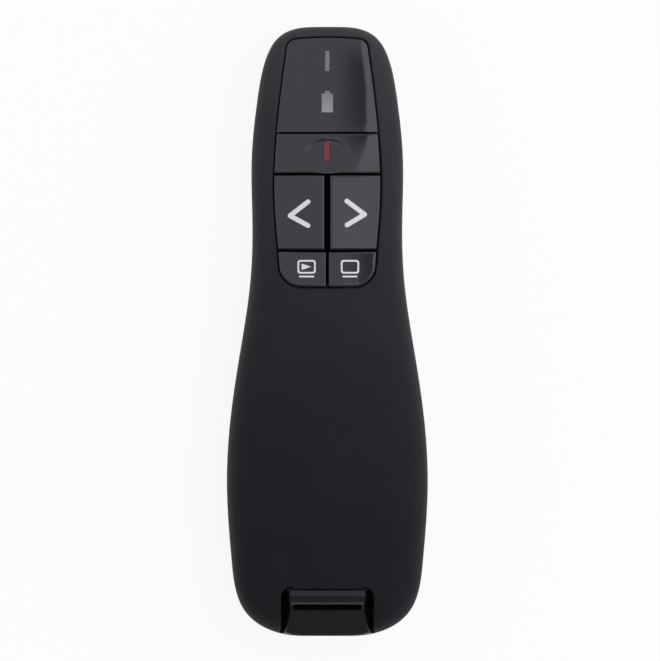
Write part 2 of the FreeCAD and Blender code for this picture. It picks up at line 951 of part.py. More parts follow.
def contact_plate(x_low, x_high, wall_face, way):
    """A flat stamped contact that stands against an end wall of the bay."""
    y_low, y_high = sorted((wall_face, wall_face + way * contact_thickness))
    return box((x_low, y_low, contact_low), (x_high, y_high, contact_high))


def nose_contact(x_low, x_high):
    """A contact at the bay's nose end with its tab up to the board."""
    tab = tab_box((x_low + x_high) / 2, 0.0)
    return contact_plate(x_low, x_high, bay_nose, -1).fuse(tab).removeSplitter()


def tab_box(x, shift):
    """The strip that takes a nose contact through the bay roof to the board, grown by shift."""
    half = contact_tab_width / 2 + shift
    return box(
        (x - half, bay_nose - contact_thickness - shift, contact_high - contact_thickness),
        (x + half, bay_nose + shift, board_underside),
    )


# Receiver


def make_receiver_cap(form):
    """Thumb piece at the tail: a rolled ridge, a nail groove and a slope down to the tail."""
    nose = receiver_tail
    plan = Part.Face(
        Part.makePolygon(
            [
                Vector(-cap_nose_half_width, nose, cap_base),
                Vector(cap_nose_half_width, nose, cap_base),
                Vector(cap_nose_half_width, cap_flare_place, cap_base),
                Vector(cap_tail_half_width, -half_length, cap_base),
                Vector(-cap_tail_half_width, -half_length, cap_base),
                Vector(-cap_nose_half_width, cap_flare_place, cap_base),
                Vector(-cap_nose_half_width, nose, cap_base),
            ]
        )
    ).extrude(Vector(0, 0, height))
    ridge_tail = nose - cap_ridge_length
    ridge_top = top_at(notch_nose) - cap_ridge_sink
    shoulder = ridge_top - cap_ridge_drop
    slope_top = ridge_top - cap_step
    ridge = Part.Arc(
        Vector(0, nose, shoulder),
        Vector(0, (nose + ridge_tail) / 2, ridge_top),
        Vector(0, ridge_tail, slope_top),
    ).toShape()
    outline = [
        Vector(0, ridge_tail, slope_top),
        Vector(0, -half_length - wall, cap_base + cap_tail_rise),
        Vector(0, -half_length - wall, cap_base),
        Vector(0, nose, cap_base),
        Vector(0, nose, shoulder),
    ]
    side = Part.Face(Part.Wire([ridge] + Part.makePolygon(outline).Edges))
    profile = side.extrude(Vector(width, 0, 0))
    profile.translate(Vector(-half_width, 0, 0))
    cap = plan.common(profile).common(form)
    cap = cap.makeFillet(cap_edge_round, cap_rim(cap))
    groove = box(
        (-cap_groove_half_width, ridge_tail - cap_groove_length, slope_top - cap_groove_depth),
        (cap_groove_half_width, ridge_tail, height),
    )
    ends = [e for e in groove.Edges if e.BoundBox.ZLength > wall]
    groove = groove.makeFillet(cap_groove_length / 2 - fillet_margin, ends)
    groove.rotate(Vector(0, ridge_tail, slope_top), Vector(1, 0, 0), cap_groove_slant)
    return cap.cut(groove).removeSplitter()


def cap_rim(cap):
    """The upper edges of the thumb piece along its two sides and across its nose."""
    foot = cap_base + wall
    nose = receiver_tail
    rim = edges_inside(cap, (-width, nose, foot), (width, nose, height))
    for side in (-1, 1):
        near, far = sorted((side * cap_nose_half_width, side * cap_tail_half_width))
        flank_edges = edges_inside(cap, (near, -half_length, foot), (far, receiver_tail, height))
        rim += [edge for edge in flank_edges if edge.BoundBox.YLength > pick_margin]
    return rim


def make_receiver():
    """Plug-in receiver that slides into the dock: two moulded halves around a board and plug."""
    base = receiver_low
    tail = receiver_tail
    front = receiver_front
    top = base + receiver_thickness
    middle = base + receiver_thickness * receiver_split_share
    block = box((-receiver_half_width, tail, base), (receiver_half_width, front, top))
    long_edges = [e for e in block.Edges if e.BoundBox.YLength > receiver_thickness]
    block = block.makeFillet(receiver_edge_round, long_edges)
    pocket = box(
        (-receiver_half_width + wall / 2, tail + wall, base + wall / 2),
        (receiver_half_width - wall / 2, front - wall, top - wall / 2),
    )
    usb_centre = middle
    mouth = box(
        (-usb_width / 2, front - 2 * wall, usb_centre - usb_height / 2),
        (usb_width / 2, front + wall, usb_centre + usb_height / 2),
    )
    block = block.cut(pocket).cut(mouth)
    upper = block.common(box((-width, -length, middle), (width, length, height)))
    lower = block.common(box((-width, -length, 0), (width, length, middle)))
    shell = box(
        (-usb_width / 2, plug_tail, usb_centre - usb_height / 2),
        (usb_width / 2, plug_nose, usb_centre + usb_height / 2),
    ).cut(
        box(
            (-usb_width / 2 + usb_wall, plug_tail + usb_wall, usb_centre - usb_height / 2 + usb_wall),
            (usb_width / 2 - usb_wall, plug_nose + wall, usb_centre + usb_height / 2 - usb_wall),
        )
    )
    for side in (-1, 1):
        x = side * usb_window_offset
        y = plug_nose - usb_window_place
        half = usb_window_size / 2
        shell = shell.cut(box((x - half, y - half, base - wall), (x + half, y + half, top + wall)))
    tongue_high = usb_centre + usb_height / 2 - usb_wall - screw_gap
    tongue_low = tongue_high - usb_tongue_thickness
    tongue = box(
        (-usb_tongue_width / 2, plug_tail + usb_wall, tongue_low),
        (usb_tongue_width / 2, plug_nose - usb_wall, tongue_high),
    )
    first = -usb_contact_pitch * (usb_contact_count - 1) / 2
    contact_nose = plug_nose - 2 * usb_wall
    strip_low = tongue_low - usb_contact_thickness
    contacts = []
    for number in range(usb_contact_count):
        x = first + number * usb_contact_pitch
        half = usb_contact_width / 2
        foot = contact_nose - usb_contact_length
        contacts.append(box((x - half, foot, strip_low), (x + half, contact_nose, tongue_low)))
    inner_low = base + wall / 2
    board_edge = receiver_half_width - receiver_board_inset
    board = box(
        (-board_edge, tail + 2 * wall, inner_low),
        (board_edge, plug_tail - screw_gap, inner_low + receiver_board_thickness),
    )
    chip_y = (tail + plug_tail) / 2
    chip_low = inner_low + receiver_board_thickness
    chip = box(
        (-receiver_chip_size / 2, chip_y - receiver_chip_size / 2, chip_low),
        (receiver_chip_size / 2, chip_y + receiver_chip_size / 2, chip_low + receiver_chip_height),
    )
    return {
        "receiver_upper_shell": [upper],
        "receiver_lower_shell": [lower],
        "usb_plug_shell": [shell],
        "usb_tongue": [tongue],
        "usb_contacts": contacts,
        "receiver_board": [board],
        "receiver_chip": [chip],
    }


def make_dock():
    """Open-topped channel on the bay roof that guides the receiver."""
    outer = dock_half_width + dock_wall
    channel = box((-outer, notch_nose + receiver_gap, dock_low), (outer, dock_nose, dock_top))
    hollow = box(
        (-dock_half_width, -length, dock_low + dock_wall),
        (dock_half_width, dock_nose - dock_wall, height),
    )
    return channel.cut(hollow)


# Electronics


def make_board():
    """Main board with a narrow tongue under the window and its screw holes."""
    broad = box(
        (-board_half_width, board_tail, board_underside), (board_half_width, board_shoulder, board_top)
    )
    narrow = box(
        (-tongue_half_width, board_shoulder, board_underside), (tongue_half_width, tongue_nose, board_top)
    )
    holes = [rod(board_screw_radius + screw_gap, height, (0, y, 0)) for y in board_screw_places]
    return together([broad, narrow]).cut(holes)


def make_antenna():
    """Printed track that runs to and fro across the board's tongue."""
    low = board_underside - antenna_thickness
    half = antenna_width / 2
    tracks = []
    for number in range(antenna_runs):
        y = antenna_place + number * 2 * antenna_track
        tracks.append(box((-half, y, low), (half, y + antenna_track, board_underside)))
        turn = half - antenna_track if number % 2 else -half
        turn_end = y + 3 * antenna_track
        if number < antenna_runs - 1:
            tracks.append(box((turn, y, low), (turn + antenna_track, turn_end, board_underside)))
    return together(tracks)


def make_frame(keys):
    """Guide frame over the switches, with a rib that fills the gap between the paging keys."""
    low = switch_top + frame_gap
    high = low + frame_thickness
    frame = box((-frame_half_width, frame_tail, low), (frame_half_width, frame_nose, high))
    frame = frame.common(cavity_form(wall + 2 * frame_gap))
    for cap, x, y in keys.values():
        frame = frame.cut(rod(key_post_radius + frame_hole_gap, height, (x, y, 0)))
    leg = board_half_width - frame_leg_inset
    legs = [
        flank(side, leg - frame_leg, leg, y, y + frame_leg_length, board_top, low)
        for side in (-1, 1)
        for y in (frame_tail, frame_nose - frame_leg_length)
    ]
    rib_tail = page_key_tail + key_gap
    rib_nose = laser_key_tail - key_gap
    half_rib = frame_rib_width / 2
    rib_heights = (top_at(rib_tail) - frame_rib_sink, top_at(rib_nose) - frame_rib_sink)
    corners = [
        Vector(-half_rib, rib_tail, low),
        Vector(-half_rib, rib_nose, low),
        Vector(-half_rib, rib_nose, rib_heights[1]),
        Vector(-half_rib, rib_tail, rib_heights[0]),
    ]
    rib = Part.Face(Part.makePolygon(corners + corners[:1])).extrude(Vector(frame_rib_width, 0, 0))
    return together([frame, rib] + legs)


def make_slider():
    """Power slider: ribbed pad in its recess, neck, retaining plate and the arm to the switch."""
    outer_face = slider_surface() - slider_sink
    floor = slider_surface() - slider_recess_depth
    plate_face = slider_back() - slider_gap
    plate_back = plate_face - slider_plate_thickness
    pad = slider_bar(floor + slider_gap, outer_face, slider_half_length, slider_half_height)
    corners = [e for e in pad.Edges if e.BoundBox.XLength > pick_margin > e.BoundBox.YLength]
    pad = pad.makeFillet(slider_half_height / 2, corners)
    first = slider_place - slider_rib_pitch * (slider_rib_count - 1) / 2 + slider_rib_width / 2
    valley = slider_rib_pitch - slider_rib_width
    for number in range(slider_rib_count - 1):
        y = first + number * slider_rib_pitch
        pad = pad.cut(box((outer_face - slider_rib_height, y, 0), (width, y + valley, height)))
    neck = slider_bar(
        plate_back, floor + 2 * slider_gap, slider_neck_half_length, slider_neck_half_height
    )
    plate = slider_bar(plate_back, plate_face, slider_plate_half_length, slider_plate_half_height)
    arm = box(
        (plate_back, slider_place - slider_arm_half_length, slider_height),
        (plate_face, slider_place + slider_arm_half_length, board_underside - slider_gap),
    )
    return together([pad, neck, plate, arm]).cut(lever_box(0, width, screw_gap, 0))


def slider_bar(x_low, x_high, half_length_here, half_height_here):
    """A block of the slider, centred on its axis."""
    return box(
        (x_low, slider_place - half_length_here, slider_height - half_height_here),
        (x_high, slider_place + half_length_here, slider_height + half_height_here),
    )


def lever_box(x_low, x_high, shift, travel):
    """The slide switch's lever, grown by shift and drawn out along its travel."""
    low = board_underside - slide_switch_lever_drop - lever_height
    return box(
        (x_low, slider_place - lever_half_length - shift, low - shift),
        (x_high, slider_place + travel + lever_half_length + shift, low + lever_height + shift),
    )


def make_slide_switch():
    """Slide switch under the board's right edge, and its lever."""
    outer = board_half_width
    middle = slider_place + slider_travel / 2
    body = box(
        (
            outer - slide_switch_width,
            middle - slide_switch_half_length,
            board_underside - slide_switch_height,
        ),
        (outer, middle + slide_switch_half_length, board_underside),
    )
    root = outer - lever_root_depth
    way = lever_box(root, width, slider_gap, slider_travel)
    lever = lever_box(root + slider_gap, slider_back() - slider_gap, 0, 0)
    return body.cut(way), lever


def make_laser():
    """Brass barrel with its lens at the nose end and its diode at the tail end."""
    nose = laser_tail + laser_length
    pane_tail = half_length - laser_window_sink - laser_window_thickness
    barrel = laser_rod(laser_barrel_radius, laser_tail, laser_length)
    barrel = barrel.cut(laser_rod(laser_bore_radius, laser_tail, laser_length))
    lens_tail = nose - 2 * laser_lens_thickness
    lens = laser_rod(laser_bore_radius - screw_gap, lens_tail, laser_lens_thickness)
    diode_tail = laser_tail - laser_flange_thickness
    flange = laser_rod(laser_flange_radius, diode_tail, laser_flange_thickness)
    can = laser_rod(laser_diode_radius, diode_tail, laser_diode_length)
    pane = laser_rod(laser_window_radius, pane_tail, laser_window_thickness)
    return barrel, lens, together([flange, can]), pane


def laser_rod(radius, tail, span):
    """A round bar on the laser's axis."""
    return rod(radius, span, (0, tail, laser_height), (0, 1, 0))


def make_switch(x, y):
    """A tact switch under a key, as its body and the stem that the key presses."""
    half = switch_half_size
    stem_low = switch_top - switch_stem_sink
    body = box((x - half, y - half, board_top), (x + half, y + half, switch_top))
    well_low = stem_low - key_travel - switch_stem_gap
    well = rod(switch_stem_radius + switch_stem_gap, height, (x, y, well_low))
    stem = rod(switch_stem_radius, switch_stem_rise + switch_stem_sink, (x, y, stem_low))
    return body.cut(well), stem


def under_board(x, y, across, along, tall):
    """A part soldered to the board's underside."""
    return box(
        (x - across / 2, y - along / 2, board_underside - tall),
        (x + across / 2, y + along / 2, board_underside),
    )


def make_led(y):
    """A light under one of the window's marks."""
    return box(
        (-led_width / 2, y - led_length / 2, board_top),
        (led_width / 2, y + led_length / 2, board_top + led_height),
    )


def main():
    os.makedirs("parts", exist_ok=True)
    form = body_form(0.0).common(box((-width, -length, 0), (width, length, height + wall)))
    cavity = cavity_form(wall)
    field = field_outline(0.0)
    save("top_case", make_top_case(form, cavity, field))
    save("bottom_case", make_bottom_case(form, cavity))

    inner_field = field_outline(field_gap)
    keys = make_keys(inner_field, body_form(-key_proud))
    for name, (cap, x, y) in keys.items():
        body, stem = make_switch(x, y)
        purpose = name.replace("_button", "")
        save(name, cap)
        save(purpose + "_switch", body)
        save(purpose + "_switch_stem", stem)
    save("key_frame", make_frame(keys))

    skin = body_form(-window_proud)
    window_row = (window_tail + key_gap / 2, half_length)
    window = skin.common(inner_field).common(wedge(window_row[0], window_row[1], window_depth))
    for hole in mark_prism(mark_gap):
        window = window.cut(hole)
    save("indicator_window", window.removeSplitter())
    for name, pipe in zip(("power_light_pipe", "battery_light_pipe"), mark_prism(0.0)):
        save(name, pipe.common(skin))

    save("main_board", make_board())
    save("radio_chip", under_board(-chip_offset, chip_place, chip_size, chip_size, chip_height))
    crystal = under_board(-chip_offset, crystal_place, crystal_width, crystal_length, crystal_height)
    save("crystal", crystal)
    save("antenna", make_antenna())
    save("power_led", make_led(power_mark_place))
    save("battery_led", make_led(cell_mark_place))
    barrel, lens, diode, pane = make_laser()
    save("laser_barrel", barrel)
    save("laser_lens", lens)
    save("laser_diode", diode)
    save("laser_window", pane)
    save("power_slider", make_slider())
    body, lever = make_slide_switch()
    save("slide_switch", body)
    save("slide_switch_lever", lever)

    tail_plate = bay_tail + contact_thickness
    nose_plate = bay_nose - contact_thickness
    spring_reach = (nose_plate - tail_plate) - cell_length
    save("battery_left", make_cell(-cell_offset, nose_plate - cell_length, True))
    save("battery_right", make_cell(cell_offset, tail_plate, False))
    save("battery_spring_tail", make_spring(-cell_offset, tail_plate, 1, spring_reach))
    save("battery_spring_nose", make_spring(cell_offset, nose_plate, -1, spring_reach))
    outer = cell_offset + contact_half_width
    inner = cell_offset - contact_half_width
    save("bridge_contact", contact_plate(-outer, outer, bay_tail, 1))
    save("positive_contact", nose_contact(-outer, -inner))
    save("negative_contact", nose_contact(inner, outer))
    save("battery_door", make_battery_door(form))

    save("receiver_dock", make_dock())
    for name, solids in make_receiver().items():
        save(name, *solids)
    save("receiver_cap", make_receiver_cap(body_form(cap_hull_gap)))

    save(
        "case_screws",
        *[
            screw(
                case_screw_radius,
                case_screw_head_radius,
                case_screw_head_height,
                seam_height - seat + case_screw_reach,
                x,
                y,
                seat,
                True,
            )
            for x, y, seat in case_screw_spots
        ],
    )
    save(
        "board_screws",
        *[
            screw(
                board_screw_radius,
                board_screw_head_radius,
                board_screw_head_height,
                board_screw_length - board_thickness,
                0,
                y,
                board_top,
                False,
            )
            for y in board_screw_places
        ],
    )


main()
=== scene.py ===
import json
import math

import bmesh
import bpy
import numpy as np
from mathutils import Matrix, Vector
from mathutils.bvhtree import BVHTree

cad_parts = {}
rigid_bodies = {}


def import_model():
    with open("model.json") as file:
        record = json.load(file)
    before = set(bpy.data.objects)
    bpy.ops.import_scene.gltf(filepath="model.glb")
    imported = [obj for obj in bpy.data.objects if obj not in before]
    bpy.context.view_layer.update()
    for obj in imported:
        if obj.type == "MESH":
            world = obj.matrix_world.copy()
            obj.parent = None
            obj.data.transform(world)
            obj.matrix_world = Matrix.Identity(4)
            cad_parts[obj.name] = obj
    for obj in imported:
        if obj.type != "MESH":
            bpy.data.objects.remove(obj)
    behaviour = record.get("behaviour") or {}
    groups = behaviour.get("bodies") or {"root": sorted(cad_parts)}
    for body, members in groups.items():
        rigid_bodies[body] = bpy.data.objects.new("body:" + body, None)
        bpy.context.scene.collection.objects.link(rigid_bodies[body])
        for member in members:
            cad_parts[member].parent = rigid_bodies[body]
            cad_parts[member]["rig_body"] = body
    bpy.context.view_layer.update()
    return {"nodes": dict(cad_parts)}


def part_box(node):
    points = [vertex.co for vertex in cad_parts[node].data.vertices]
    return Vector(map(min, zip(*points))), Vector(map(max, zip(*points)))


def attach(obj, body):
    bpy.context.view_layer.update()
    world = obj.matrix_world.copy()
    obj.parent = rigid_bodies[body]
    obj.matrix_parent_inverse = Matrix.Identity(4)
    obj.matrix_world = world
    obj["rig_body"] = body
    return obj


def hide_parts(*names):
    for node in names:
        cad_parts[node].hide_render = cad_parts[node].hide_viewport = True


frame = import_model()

# Studio
# The remote lies on a white sweep and is seen from straight above with its nose up.
# A broad soft lamp overhead lights it evenly, and the room's panels show in its gloss.
scene = bpy.context.scene
scene.view_settings.view_transform = "Standard"
MM = 0.001
view_centre = Vector((0.51, 0.19, 13.0)) * MM
view_width = 125.4 * MM
camera_distance = 3.4
lamp_height = 0.9
lamp_side = 0.6
lamp_place = (0.35, 0.15)
lamp_watts = 4.1
room_light = 0.55
floor_side = 3.0
floor_gap = 0.02 * MM
floor_white = "f4f4f4"
floor_glow_share = 0.9

camera_data = bpy.data.cameras.new("view_from_above")
camera_data.lens = camera_data.sensor_width * camera_distance / view_width
camera = bpy.data.objects.new("view_from_above", camera_data)
camera.location = view_centre + Vector((0, 0, camera_distance))
scene.collection.objects.link(camera)
scene.camera = camera

lamp_data = bpy.data.lights.new("overhead_lamp", "AREA")
lamp_data.size = lamp_side
lamp_data.energy = lamp_watts
lamp = bpy.data.objects.new("overhead_lamp", lamp_data)
lamp.location = (lamp_place[0], lamp_place[1], lamp_height)
lamp.rotation_euler = (view_centre - lamp.location).to_track_quat("-Z", "Y").to_euler()
lamp.visible_glossy = False
scene.collection.objects.link(lamp)

# What the gloss sees: a pale room whose right wall is brighter, with a dark rail at its corner.
# The figures are components of the direction looked in: along the remote, then across it.
wall_corner = [(0.0, 0.045), (0.122, 0.045), (0.138, 0.215), (0.175, 0.345), (0.216, 0.454)]
wall_corner += [(0.242, 0.49), (0.315, 0.49), (0.573, 0.535), (1.0, 0.6)]
corner_edge = (-0.02, 0.02)
wall_rise = (0.04, 0.2)
wall_light = (1.85, 2.35)
room_level = 1.4
rail_reach = (-0.5, -0.1)
rail_start = (0.18, 0.22)
rail_end = (0.58, 0.26)
rail_light = 0.6
dark_side = (-0.2, 0.02)
dark_side_light = (0.3, 1.0)
white = "ffffff"
room_tint = "efeeff"
# A Mix node's two ends share their names between kinds, so they go by number.
low_value, high_value, low_colour, high_colour = 2, 3, 6, 7


def linear(hex_colour):
    """An sRGB colour written as six hex digits, as linear red, green, blue and alpha."""
    parts = [int(hex_colour[i : i + 2], 16) / 255 for i in (0, 2, 4)]
    return [c / 12.92 if c <= 0.04045 else ((c + 0.055) / 1.055) ** 2.4 for c in parts] + [1.0]


def add(tree, kind, inputs=None, **settings):
    """Adds one node with its settings, and sets its inputs, or links them to sockets or nodes."""
    made = tree.nodes.new(kind)
    for name, value in settings.items():
        setattr(made, name, value)
    for name, value in (inputs or {}).items():
        if isinstance(value, bpy.types.Node):
            value = next(socket for socket in value.outputs if socket.enabled)
        if isinstance(value, bpy.types.NodeSocket):
            tree.links.new(value, made.inputs[name])
        else:
            made.inputs[name].default_value = value
    return made


room = bpy.data.worlds.new("white_room")
room.use_nodes = True
scene.world = room
tree = room.node_tree
tree.nodes.clear()
direction = add(tree, "ShaderNodeTexCoord").outputs["Generated"]
split = add(tree, "ShaderNodeSeparateXYZ", {"Vector": direction})
across, along = split.outputs["X"], split.outputs["Y"]
corner = add(tree, "ShaderNodeFloatCurve", {"Value": along})
line = corner.mapping.curves[0]
line.points[0].location = wall_corner[0]
line.points[1].location = wall_corner[-1]
for place in wall_corner[1:-1]:
    line.points.new(*place)
for point in line.points:
    point.handle_type = "VECTOR"
corner.mapping.update()
past_corner = add(tree, "ShaderNodeMath", {0: across, 1: corner}, operation="SUBTRACT")
# Where each stretch of the room begins to show and where it is full, from 0 to 1.
soft_edges = {
    "on_wall": (past_corner, corner_edge),
    "near_rail": (past_corner, rail_reach),
    "past_rail_start": (along, rail_start),
    "before_rail_end": (along, rail_end),
}
soft = {
    name: add(
        tree,
        "ShaderNodeMapRange",
        {"Value": value, "From Min": start, "From Max": end},
        interpolation_type="SMOOTHSTEP",
    )
    for name, (value, (start, end)) in soft_edges.items()
}
beside_rail = add(
    tree,
    "ShaderNodeMath",
    {0: soft["past_rail_start"], 1: soft["before_rail_end"]},
    operation="MULTIPLY",
)
on_rail = add(
    tree, "ShaderNodeMath", {0: soft["near_rail"], 1: beside_rail}, operation="MULTIPLY"
)
room_and_rail = add(
    tree, "ShaderNodeMix", {"Factor": on_rail, low_value: room_level, high_value: rail_light}
)
wall = add(
    tree,
    "ShaderNodeMapRange",
    {
        "Value": along,
        "From Min": wall_rise[0],
        "From Max": wall_rise[1],
        "To Min": wall_light[0],
        "To Max": wall_light[1],
    },
)
room_and_wall = add(
    tree, "ShaderNodeMix", {"Factor": soft["on_wall"], low_value: room_and_rail, high_value: wall}
)
lit_side = add(
    tree,
    "ShaderNodeMapRange",
    {
        "Value": along,
        "From Min": dark_side[0],
        "From Max": dark_side[1],
        "To Min": dark_side_light[0],
        "To Max": dark_side_light[1],
    },
    interpolation_type="SMOOTHSTEP",
)
seen_in_gloss = add(
    tree, "ShaderNodeMath", {0: room_and_wall, 1: lit_side}, operation="MULTIPLY"
)
ray = add(tree, "ShaderNodeLightPath").outputs
seen_straight = add(
    tree,
    "ShaderNodeMath",
    {0: ray["Is Camera Ray"], 1: ray["Is Transmission Ray"]},
    operation="MAXIMUM",
)
level = add(
    tree, "ShaderNodeMix", {"Factor": seen_straight, low_value: room_light, high_value: 1.0}
)
level = add(
    tree,
    "ShaderNodeMix",
    {"Factor": ray["Is Glossy Ray"], low_value: level, high_value: seen_in_gloss},
)
tints = {low_colour: linear(white), high_colour: linear(room_tint)}
tint = add(
    tree, "ShaderNodeMix", {"Factor": ray["Is Glossy Ray"], **tints}, data_type="RGBA"
)
glow = add(tree, "ShaderNodeBackground", {"Color": tint, "Strength": level})
add(tree, "ShaderNodeOutputWorld", {"Surface": glow})

half_floor = floor_side / 2
floor_corners = [(-1, -1), (1, -1), (1, 1), (-1, 1)]
floor_mesh = bpy.data.meshes.new("sweep")
floor_mesh.from_pydata(
    [(x * half_floor, y * half_floor, -floor_gap) for x, y in floor_corners], [], [(0, 1, 2, 3)]
)
floor = bpy.data.objects.new("sweep", floor_mesh)
scene.collection.objects.link(floor)
# Matt white paper: it takes the soft shadow, and shows plain white to the camera and the gloss.
sweep = bpy.data.materials.new("white_paper_sweep")
sweep.use_nodes = True
tree = sweep.node_tree
tree.nodes.clear()
ray = add(tree, "ShaderNodeLightPath").outputs
paper = add(tree, "ShaderNodeBsdfDiffuse", {"Color": linear(floor_white)})
paper_glow = add(tree, "ShaderNodeEmission", {"Color": linear(white), "Strength": 1.0})
seen = add(
    tree,
    "ShaderNodeMath",
    {0: ray["Is Camera Ray"], 1: ray["Is Transmission Ray"]},
    operation="MAXIMUM",
)
seen = add(tree, "ShaderNodeMath", {0: seen, 1: ray["Is Glossy Ray"]}, operation="MAXIMUM")
glow_share = add(tree, "ShaderNodeMath", {0: seen, 1: floor_glow_share}, operation="MULTIPLY")
paper_mix = add(tree, "ShaderNodeMixShader", {0: glow_share, 1: paper, 2: paper_glow})
add(tree, "ShaderNodeOutputMaterial", {"Surface": paper_mix})
floor_mesh.materials.append(sweep)


# Upper and lower case
# Two injection moulded ABS halves with a sprayed soft-touch coat, screwed together at the seam.
# The belly's sliding door over the cells is moulded and coated in the same way.
crease_angle = 28
weld_distance = 0.0005 * MM
# The coat's tone at some places along the remote, in millimetres from its middle.
# The tones grow lighter towards the nose as a painted sheen on the head, not as the coat's own
# colour.
soft_touch_painted_sheen_tones = [(-40, "1c1b1f"), (-13, "201f23"), (2, "252428"), (40, "302f33"), (57, "39383b")]
soft_touch_roughness = (0.6, 0.68)
soft_touch_wear = 1.12
soft_touch_grain = 0.22 * MM
soft_touch_relief = 0.006 * MM
soft_touch_relief_share = 0.6
soft_touch_gloss = 0.08
soft_touch_blotch = 9.0 * MM
blotch_range = (0.3, 0.7)


def new_material(name):
    """A node material with a bare shader, and the piece's own coordinates in metres."""
    made = bpy.data.materials.new(name)
    made.use_nodes = True
    made.node_tree.nodes.clear()
    place = add(made.node_tree, "ShaderNodeTexCoord").outputs["Object"]
    return made, made.node_tree, place


def finish_material(tree, colour, roughness, normal=None, **sockets):
    """Ends a material in one shader, with its uniform values set on the shader's own sockets."""
    inputs = {"Base Color": colour, "Roughness": roughness}
    inputs.update({name.replace("_", " "): value for name, value in sockets.items()})
    if normal is not None:
        inputs["Normal"] = normal
    shader = add(tree, "ShaderNodeBsdfPrincipled", inputs)
    add(tree, "ShaderNodeOutputMaterial", {"Surface": shader})


def skin(node, material, angle=crease_angle):
    """A merged and smooth-shaded copy of a CAD solid, which it then stands for."""
    shape = bmesh.new()
    shape.from_mesh(frame["nodes"][node].data)
    bmesh.ops.remove_doubles(shape, verts=shape.verts, dist=weld_distance)
    merged = bpy.data.meshes.new(node + "_skin")
    shape.verts.ensure_lookup_table()
    merged.from_pydata(
        [vertex.co.copy() for vertex in shape.verts],
        [],
        [[vertex.index for vertex in face.verts] for face in shape.faces],
    )
    shape.free()
    merged.shade_smooth()
    merged.set_sharp_from_angle(angle=math.radians(angle))
    merged.materials.append(material)
    piece = bpy.data.objects.new(node + "_skin", merged)
    scene.collection.objects.link(piece)
    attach(piece, frame["nodes"][node]["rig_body"])
    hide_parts(node)
    return piece


# Sprayed soft-touch paint on ABS: matt and a little rubbery. A painted sheen makes it lighter
# towards the nose and darker towards the tail. It is faintly blotched by handling, and has a fine
# orange peel that only shows close up.
soft_touch, tree, place = new_material("soft_touch_coated_abs")
run = add(tree, "ShaderNodeSeparateXYZ", {"Vector": place}).outputs["Y"]
tail_end, nose_end = soft_touch_painted_sheen_tones[0][0], soft_touch_painted_sheen_tones[-1][0]
from_tail = add(
    tree,
    "ShaderNodeMapRange",
    {"Value": run, "From Min": tail_end * MM, "From Max": nose_end * MM},
)
# This ramp paints the head's sheen into the colour: lighter towards the nose, darker towards the
# tail.
tones = add(tree, "ShaderNodeValToRGB", {"Fac": from_tail})
stops = tones.color_ramp.elements
while len(stops) < len(soft_touch_painted_sheen_tones):
    stops.new(0.5)
for stop, (y, tone) in zip(stops, soft_touch_painted_sheen_tones):
    stop.position = (y - tail_end) / (nose_end - tail_end)
    stop.color = linear(tone)
peel = add(
    tree, "ShaderNodeTexNoise", {"Vector": place, "Scale": 1 / soft_touch_grain, "Detail": 3.0}
)
blotch = add(tree, "ShaderNodeTexNoise", {"Vector": place, "Scale": 1 / soft_touch_blotch})
worn = add(
    tree,
    "ShaderNodeMapRange",
    {
        "Value": blotch,
        "From Min": blotch_range[0],
        "From Max": blotch_range[1],
        "To Min": 1.0,
        "To Max": soft_touch_wear,
    },
)
coat = add(tree, "ShaderNodeVectorMath", {0: tones, "Scale": worn}, operation="SCALE")
rubbed = add(
    tree,
    "ShaderNodeMapRange",
    {"Value": blotch, "To Min": soft_touch_roughness[0], "To Max": soft_touch_roughness[1]},
)
peel_relief = add(
    tree,
    "ShaderNodeBump",
    {"Height": peel, "Distance": soft_touch_relief, "Strength": soft_touch_relief_share},
)
finish_material(tree, coat, rubbed, peel_relief, Specular_IOR_Level=soft_touch_gloss)
for name in ("top_case", "bottom_case", "battery_door"):
    skin(name, soft_touch)


# Cells and their contacts
# Two cells in a printed sleeve over a steel can lie in the bay, nose to tail.
# Nickel plated springs and stamped plates carry them, and their tabs rise to the board.
sleeve_tones = ("1c1d20", "8a5a34")
sleeve_roughness = (0.26, 0.34)
sleeve_grain = 0.3 * MM
sleeve_relief = 0.002 * MM
sleeve_relief_share = 0.4
copper_band_from_middle = 12 * MM
copper_band_edge = 0.1 * MM
spring_crease_angle = 50


def grained_material(
    name, tones, grain, roughness, depth=None, strength=0.5, detail=2.0, **sockets
):
    """A material whose tone, roughness and relief follow one speckle of the given grain size."""
    made, tree, place = new_material(name)
    noise = {"Vector": place, "Scale": 1 / grain, "Detail": detail}
    pattern = add(tree, "ShaderNodeTexNoise", noise)
    ends = {low_colour: linear(tones[0]), high_colour: linear(tones[1])}
    tone = add(tree, "ShaderNodeMix", {"Factor": pattern, **ends}, data_type="RGBA")
    limits = {"To Min": roughness[0], "To Max": roughness[1]}
    gloss = add(tree, "ShaderNodeMapRange", {"Value": pattern, **limits})
    bumps = {"Height": pattern, "Distance": depth, "Strength": strength}
    normal = add(tree, "ShaderNodeBump", bumps) if depth else None
    finish_material(tree, tone, gloss, normal, **sockets)
    return made


